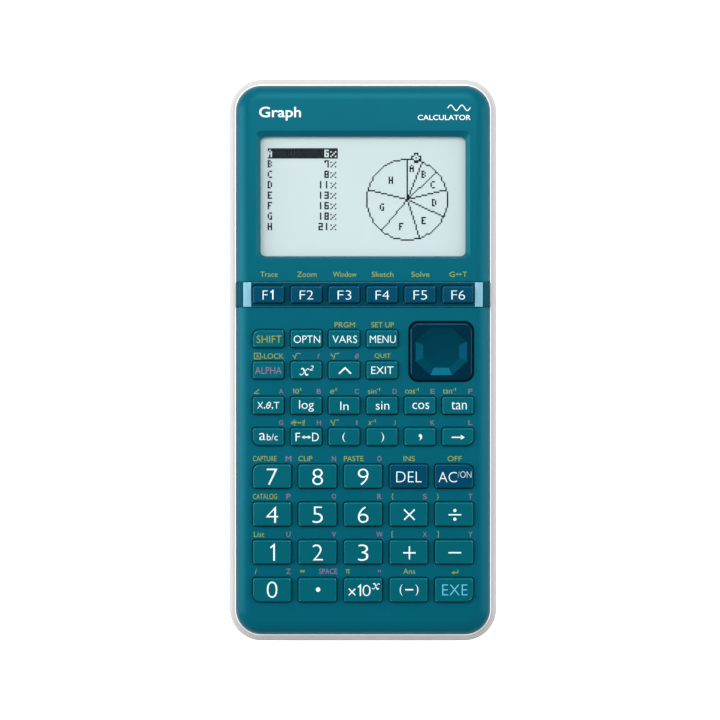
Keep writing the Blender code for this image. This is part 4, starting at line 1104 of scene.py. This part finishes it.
# what is printed over a key: the word on its left in yellow, its width, then the letter on its right in pink
printShape = {"aboveFunction": 6.29, "aboveSmall": 4.33, "aboveLarge": 5.42, "height": 1.62, "small": 1.45,
              "leftSmall": -4.35, "leftLarge": -5.95, "rightSmall": 3.95, "rightLarge": 5.10,
              "stroke": 0.20 * mm}
middlePrints = {  # in the middle over the key: sign, width
    "key_f1": ("Trace", 5.4), "key_f2": ("Zoom", 6.1), "key_f3": ("Window", 7.3), "key_f4": ("Sketch", 6.7),
    "key_f5": ("Solve", 5.6), "key_variables": ("PRGM", 6.3), "key_menu": ("SET UP", 7.0),
    "key_exit": ("QUIT", 5.0), "key_delete": ("INS", 3.5), "key_clear_on": ("OFF", 4.35),
    "key_negative": ("Ans", 3.7),
}
leftPrints = {  # signs at the left over the key: [(sign, width, height, step up, gap before)]
    "key_alpha": [("frame", 1.9, 1.75, 0, 0), ("-LOCK", 7.0, 1.6, 0, 0.25)],
    "key_square": [("root", 2.5, 1.6, 0, 0.1)],
    "key_power": [("~x", 0.7, 0.7, 0.5, 0), ("root", 2.4, 1.6, 0, -0.25)],
    "key_variable_x": [("angle", 1.5, 1.3, 0, 0)],
    "key_log": [("one", 0.7, 1.45, 0, 0), ("0", 1.1, 1.45, 0, 0.25), ("~x", 0.9, 0.8, 0.6, 0.1)],
    "key_ln": [("~e", 1.3, 1.2, -0.1, 0), ("~x", 0.9, 0.8, 0.6, 0.1)],
    "key_sin": [("sin", 2.6, 1.45, 0, 0), ("-", 0.45, 0.16, 0.55, 0.2), ("one", 0.4, 0.8, 0.55, 0.12)],
    "key_cos": [("cos", 3.1, 1.15, -0.1, -0.25), ("-", 0.45, 0.16, 0.55, 0.2), ("one", 0.4, 0.8, 0.55, 0.12)],
    "key_tan": [("tan", 2.9, 1.4, 0, -0.3), ("-", 0.45, 0.16, 0.55, 0.2), ("one", 0.4, 0.8, 0.55, 0.12)],
    "key_decimal_toggle": [("~a", 0.9, 0.9, 0, -0.5), ("b", 0.75, 0.85, 0.55, 0.1),
                           ("c", 0.75, 0.65, -0.60, -0.75), ("minus", 0.9, 0.3, 0, -0.85),
                           ("both", 1.4, 0.8, 0, 0.2), ("d", 0.75, 0.85, 0.55, 0.25),
                           ("c", 0.75, 0.65, -0.60, -0.75), ("minus", 0.9, 0.3, 0, -0.85)],
    "key_open_bracket": [("3", 0.55, 0.75, 0.5, 0), ("root", 2.4, 1.6, 0, -0.2)],
    "key_close_bracket": [("~x", 1.3, 1.2, -0.15, 0), ("-", 0.45, 0.16, 0.5, 0.15), ("one", 0.4, 0.8, 0.5, 0.12)],
    "key_7": [("CAPTURE", 7.3, 1.62, 0, 0)],
    "key_8": [("CLIP", 4.35, 1.62, 0, 0)],
    "key_9": [("PASTE", 6.1, 1.62, 0, 0)],
    "key_4": [("CATALOG", 7.5, 1.62, 0, 0)],
    "key_multiply": [("{", 0.7, 1.9, 0, 0.6)],
    "key_divide": [("}", 0.7, 1.9, 0, 0.6)],
    "key_1": [("List", 3.2, 1.62, 0, 0.3)],
    "key_plus": [("[", 0.5, 1.9, 0, 0.7)],
    "key_minus": [("]", 0.5, 1.9, 0, 0.7)],
    "key_0": [("~i", 0.6, 1.6, 0, 0.6)],
    "key_point": [("equal", 1.5, 0.7, 0, 0.5)],
    "key_exponent": [("pi", 1.3, 1.3, 0, 0.6)],
}
rightPrints = {
    "key_square": "r", "key_power": "theta", "key_variable_x": "A", "key_log": "B", "key_ln": "C", "key_sin": "D",
    "key_cos": "E", "key_tan": "F", "key_fraction": "G", "key_decimal_toggle": "H", "key_open_bracket": "I",
    "key_close_bracket": "J", "key_comma": "K", "key_store": "L", "key_7": "M", "key_8": "N", "key_9": "O",
    "key_4": "P", "key_5": "Q", "key_6": "R", "key_multiply": "S", "key_divide": "T", "key_1": "U", "key_2": "V",
    "key_3": "W", "key_plus": "X", "key_minus": "Y", "key_0": "Z", "key_point": "SPACE", "key_exponent": '"',
}
letterWidths = {"I": 0.28, "J": 0.6, "M": 1.75, "W": 2.0, "r": 0.7, "SPACE": 5.6, '"': 0.9, "theta": 1.15}


def makeCapSigns():
    for node, signs in capSigns.items():
        low, high, middle = boxOf(node)
        bm = bmesh.new()
        rise = lastRow["rise"] if node in lastRow["nodes"] else 0
        for sign, right, up, width, height, stroke in signs:
            place = (middle.x + right * mm, middle.y + (up + rise) * mm)
            addSign(bm, sign, place, (width * mm, height * mm), high.z,
                    stroke * mm or inkShape["stroke"], min(stroke, 0) or None)
        toPiece("sign_" + node[4:], bm, [capInks.get(node, "whiteInk")], node)


def makePrints(p):
    yellow = bmesh.new()
    pink = bmesh.new()
    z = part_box("front_case")[1].z
    for node in capSigns:
        low, high, middle = boxOf(node)
        isLarge = high.x - low.x > 12 * mm
        isFunction = node in functionKeys
        up = p["aboveFunction"] if isFunction else p["aboveLarge"] if isLarge else p["aboveSmall"]
        y = middle.y + (up + (lastRow["rise"] if node in lastRow["nodes"] else 0)) * mm
        if node in middlePrints:
            sign, width = middlePrints[node]
            addSign(yellow, sign, (middle.x + 0.2 * mm, y), (width * mm, p["height"] * mm), z, p["stroke"])
        x = middle.x + (p["leftLarge"] if isLarge else p["leftSmall"]) * mm
        for sign, width, height, rise, gap in leftPrints.get(node, []):
            x += gap * mm
            addSign(yellow, sign, (x + width * mm / 2, y + rise * mm), (width * mm, height * mm), z, p["stroke"])
            x += width * mm
        if node in rightPrints:
            letter = rightPrints[node]
            width = letterWidths.get(letter, 1.25)
            x = middle.x + (p["rightLarge"] if isLarge else p["rightSmall"]) * mm
            if width > 3:
                x += (1.0 - width / 2) * mm
            height = 0.7 if letter == '"' else 1.15 if letter == "r" else p["height"] if isLarge else p["small"]
            addSign(pink, letter, (x, y), (width * mm, height * mm), z, p["stroke"])
    low, high, middle = boxOf("key_f6")
    y = middle.y + p["aboveFunction"] * mm
    for sign, right, width, height in (("G", -1.75, 1.6, 1.62), ("both", 0.35, 1.9, 0.9), ("T", 2.2, 1.3, 1.62)):
        addSign(yellow, sign, (middle.x + right * mm, y), (width * mm, height * mm), z, p["stroke"])
    low, high, middle = boxOf("key_execute")
    addSign(yellow, "enter", (middle.x + 0.2 * mm, middle.y + p["aboveLarge"] * mm), (2.0 * mm, 1.4 * mm), z,
            1.3 * p["stroke"])
    low, high, middle = boxOf("key_alpha")
    addSign(yellow, "A", (middle.x + (p["leftSmall"] + 0.95) * mm, middle.y + p["aboveSmall"] * mm),
            (1.05 * mm, 1.0 * mm), z, p["stroke"])
    toPiece("prints_yellow", yellow, ["yellowInk"], "case")
    toPiece("prints_pink", pink, ["pinkInk"], "case")


headShape = {"y": 77.0, "leftX": -32.3, "leftWidth": 13.0, "leftHeight": 4.3, "rightX": 17.0, "rightWidth": 16.5,
             "rightHeight": 1.6, "underY": 75.6}


def makeHeading(h):  # plain words and a small wave above the display
    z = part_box("front_case")[1].z
    bm = bmesh.new()
    addLetters(bm, "Graph", ((h["leftX"] + h["leftWidth"] / 2) * mm, (h["y"] - 0.4) * mm),
               (h["leftWidth"] * mm, h["leftHeight"] * mm), z, weight=0.012)
    right = (h["rightX"] + h["rightWidth"] / 2) * mm
    addLetters(bm, "CALCULATOR", (right, (h["underY"] - 0.2) * mm), (h["rightWidth"] * mm, 1.6 * mm), z,
               weight=0.012)
    waveX, waveY = right + 4.6 * mm, 78.4 * mm
    wave = [(waveX + step * 0.22 * mm, waveY + 0.85 * mm * math.sin(step * 0.40)) for step in range(-16, 17)]
    addStroke(bm, wave, 0.30 * mm, z)
    toPiece("prints_white", bm, ["whiteInk"], "case")


dotShape = {"pitch": 0.4657 * mm, "left": -29.75 * mm, "top": 66.06 * mm, "gap": 0.012 * mm, "lift": 0.02 * mm}
letterDots = {  # five rows of three dots, top row first, each row a number from 0 to 7
    "A": (2, 5, 7, 5, 5), "B": (6, 5, 6, 5, 6), "C": (3, 4, 4, 4, 3), "D": (6, 5, 5, 5, 6),
    "E": (7, 4, 6, 4, 7), "F": (7, 4, 6, 4, 4), "G": (3, 4, 5, 5, 3), "H": (5, 5, 7, 5, 5),
    "1": (2, 2, 2, 2, 2), "2": (7, 1, 7, 4, 7), "3": (7, 1, 7, 1, 7), "6": (7, 4, 7, 5, 7),
    "7": (7, 5, 1, 1, 1), "8": (7, 5, 7, 5, 7),
}
percentDots = (0, 9, 2, 4, 9)       # four dots wide
shares = (("A", 6), ("B", 7), ("C", 8), ("D", 11), ("E", 13), ("F", 16), ("G", 18), ("H", 21))
pieShape = {"column": 93, "row": 34, "radius": 27, "letterNear": 0.61, "letterFar": 0.80}


def glyphDots(rows, width, column, row):
    return {(column + width - 1 - bit, row + line) for line, bits in enumerate(rows)
            for bit in range(width) if bits >> bit & 1}


def lineDots(start, end):
    steps = max(abs(end[0] - start[0]), abs(end[1] - start[1]), 1)
    return {(round(start[0] + (end[0] - start[0]) * step / steps),
             round(start[1] + (end[1] - start[1]) * step / steps)) for step in range(int(steps) + 1)}


def screenDots(p):
    dots = set()
    for index, (letter, share) in enumerate(shares):
        row = 7 * index + 1
        line = glyphDots(letterDots[letter], 3, 0, row) | glyphDots(percentDots, 4, 42, row)
        for place, digit in zip((34, 38), f"{share:2d}"):
            if digit != " ":
                line |= glyphDots(letterDots[digit], 3, place, row)
        if index == 0:
            line = {(x, y) for x in range(47) for y in range(7)} - line
        dots |= line
    centre = (p["column"], p["row"])
    circle = [(centre[0] + p["radius"] * math.cos(math.radians(turn)),
               centre[1] + p["radius"] * math.sin(math.radians(turn))) for turn in range(0, 361, 3)]
    for a, b in zip(circle, circle[1:]):
        dots |= lineDots((round(a[0]), round(a[1])), (round(b[0]), round(b[1])))
    reached = 0
    for index, (letter, share) in enumerate(shares):
        turn = 2 * math.pi * reached / 100
        dots |= lineDots(centre, (centre[0] + p["radius"] * math.sin(turn),
                                  centre[1] - p["radius"] * math.cos(turn)))
        turn = 2 * math.pi * (reached + share / 2) / 100
        far = p["letterFar"] + (p["letterNear"] - p["letterFar"]) * index / (len(shares) - 1)
        column = centre[0] + far * p["radius"] * math.sin(turn)
        row = centre[1] - far * p["radius"] * math.cos(turn)
        dots |= glyphDots(letterDots[letter], 3, round(column) - 2, round(row) - 2)
        reached += share
    turn = 2 * math.pi * shares[0][1] / 200
    column = round(centre[0] + p["radius"] * math.sin(turn)) + 1
    for x, y in ((0, 0), *[(s * a, b) for s in (-1, 1) for a, b in ((1, 3), (1, 2), (1, -3), (1, -2), (2, 1),
                 (3, 1), (2, -1), (3, -1), (3, 0))], (0, 3), (0, -3)):
        dots.add((column + x, 6 + y))
    return dots


def makeScreen(d):
    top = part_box("lcd_panel")[1].z + d["lift"]
    bm = bmesh.new()
    half = (d["pitch"] - d["gap"]) / 2
    for column, row in sorted(screenDots(pieShape)):
        place = Matrix.Translation((d["left"] + (column + 0.5) * d["pitch"],
                                    d["top"] - (row + 0.5) * d["pitch"], top))
        bmesh.ops.create_grid(bm, x_segments=1, y_segments=1, size=half, matrix=place)
    toPiece("screen_dots", bm, ["displayInk"], "case")


print("stage: studio")
makeStudio(studio)
print("stage: materials")
mouldedGroup = makeMouldedGroup(wearAndHighlightShape)
materials = {name: makePlastic(name, *values) for name, values in plastics.items()}
materials["window"] = makeWindowClear(windowGloss)
print("stage: cases")
makeFrontCase(caseShape)
makeRearCase(caseShape)
makeBatteryCover(caseShape, gripShape)
makeScrews(screwShape, caseShape)
for number in range(1, 5):
    makeCell(number, cellShape)
makeContacts(contactShape, caseShape)
makeFunctionStrip(caseShape)
print("stage: keys")
for keyNode in sorted(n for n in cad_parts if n.startswith("key_") and n != "key_mat"):
    makeCap(keyNode, capShape)
makePad(padShape)
print("stage: lettering")
makeCapSigns()
makePrints(printShape)
makeHeading(headShape)
makeScreen(dotShape)
print("stage: finishes on the remaining CAD parts")
finishes = {
    "display_window": "window", "lcd_panel": "displayGrey", "main_board": "boardGreen", "key_mat": "greyRubber",
    "cursor_pivot": "greyRubber",
}
for node, finish in finishes.items():
    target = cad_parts[node]
    target.data.materials.clear()
    target.data.materials.append(materials[finish])
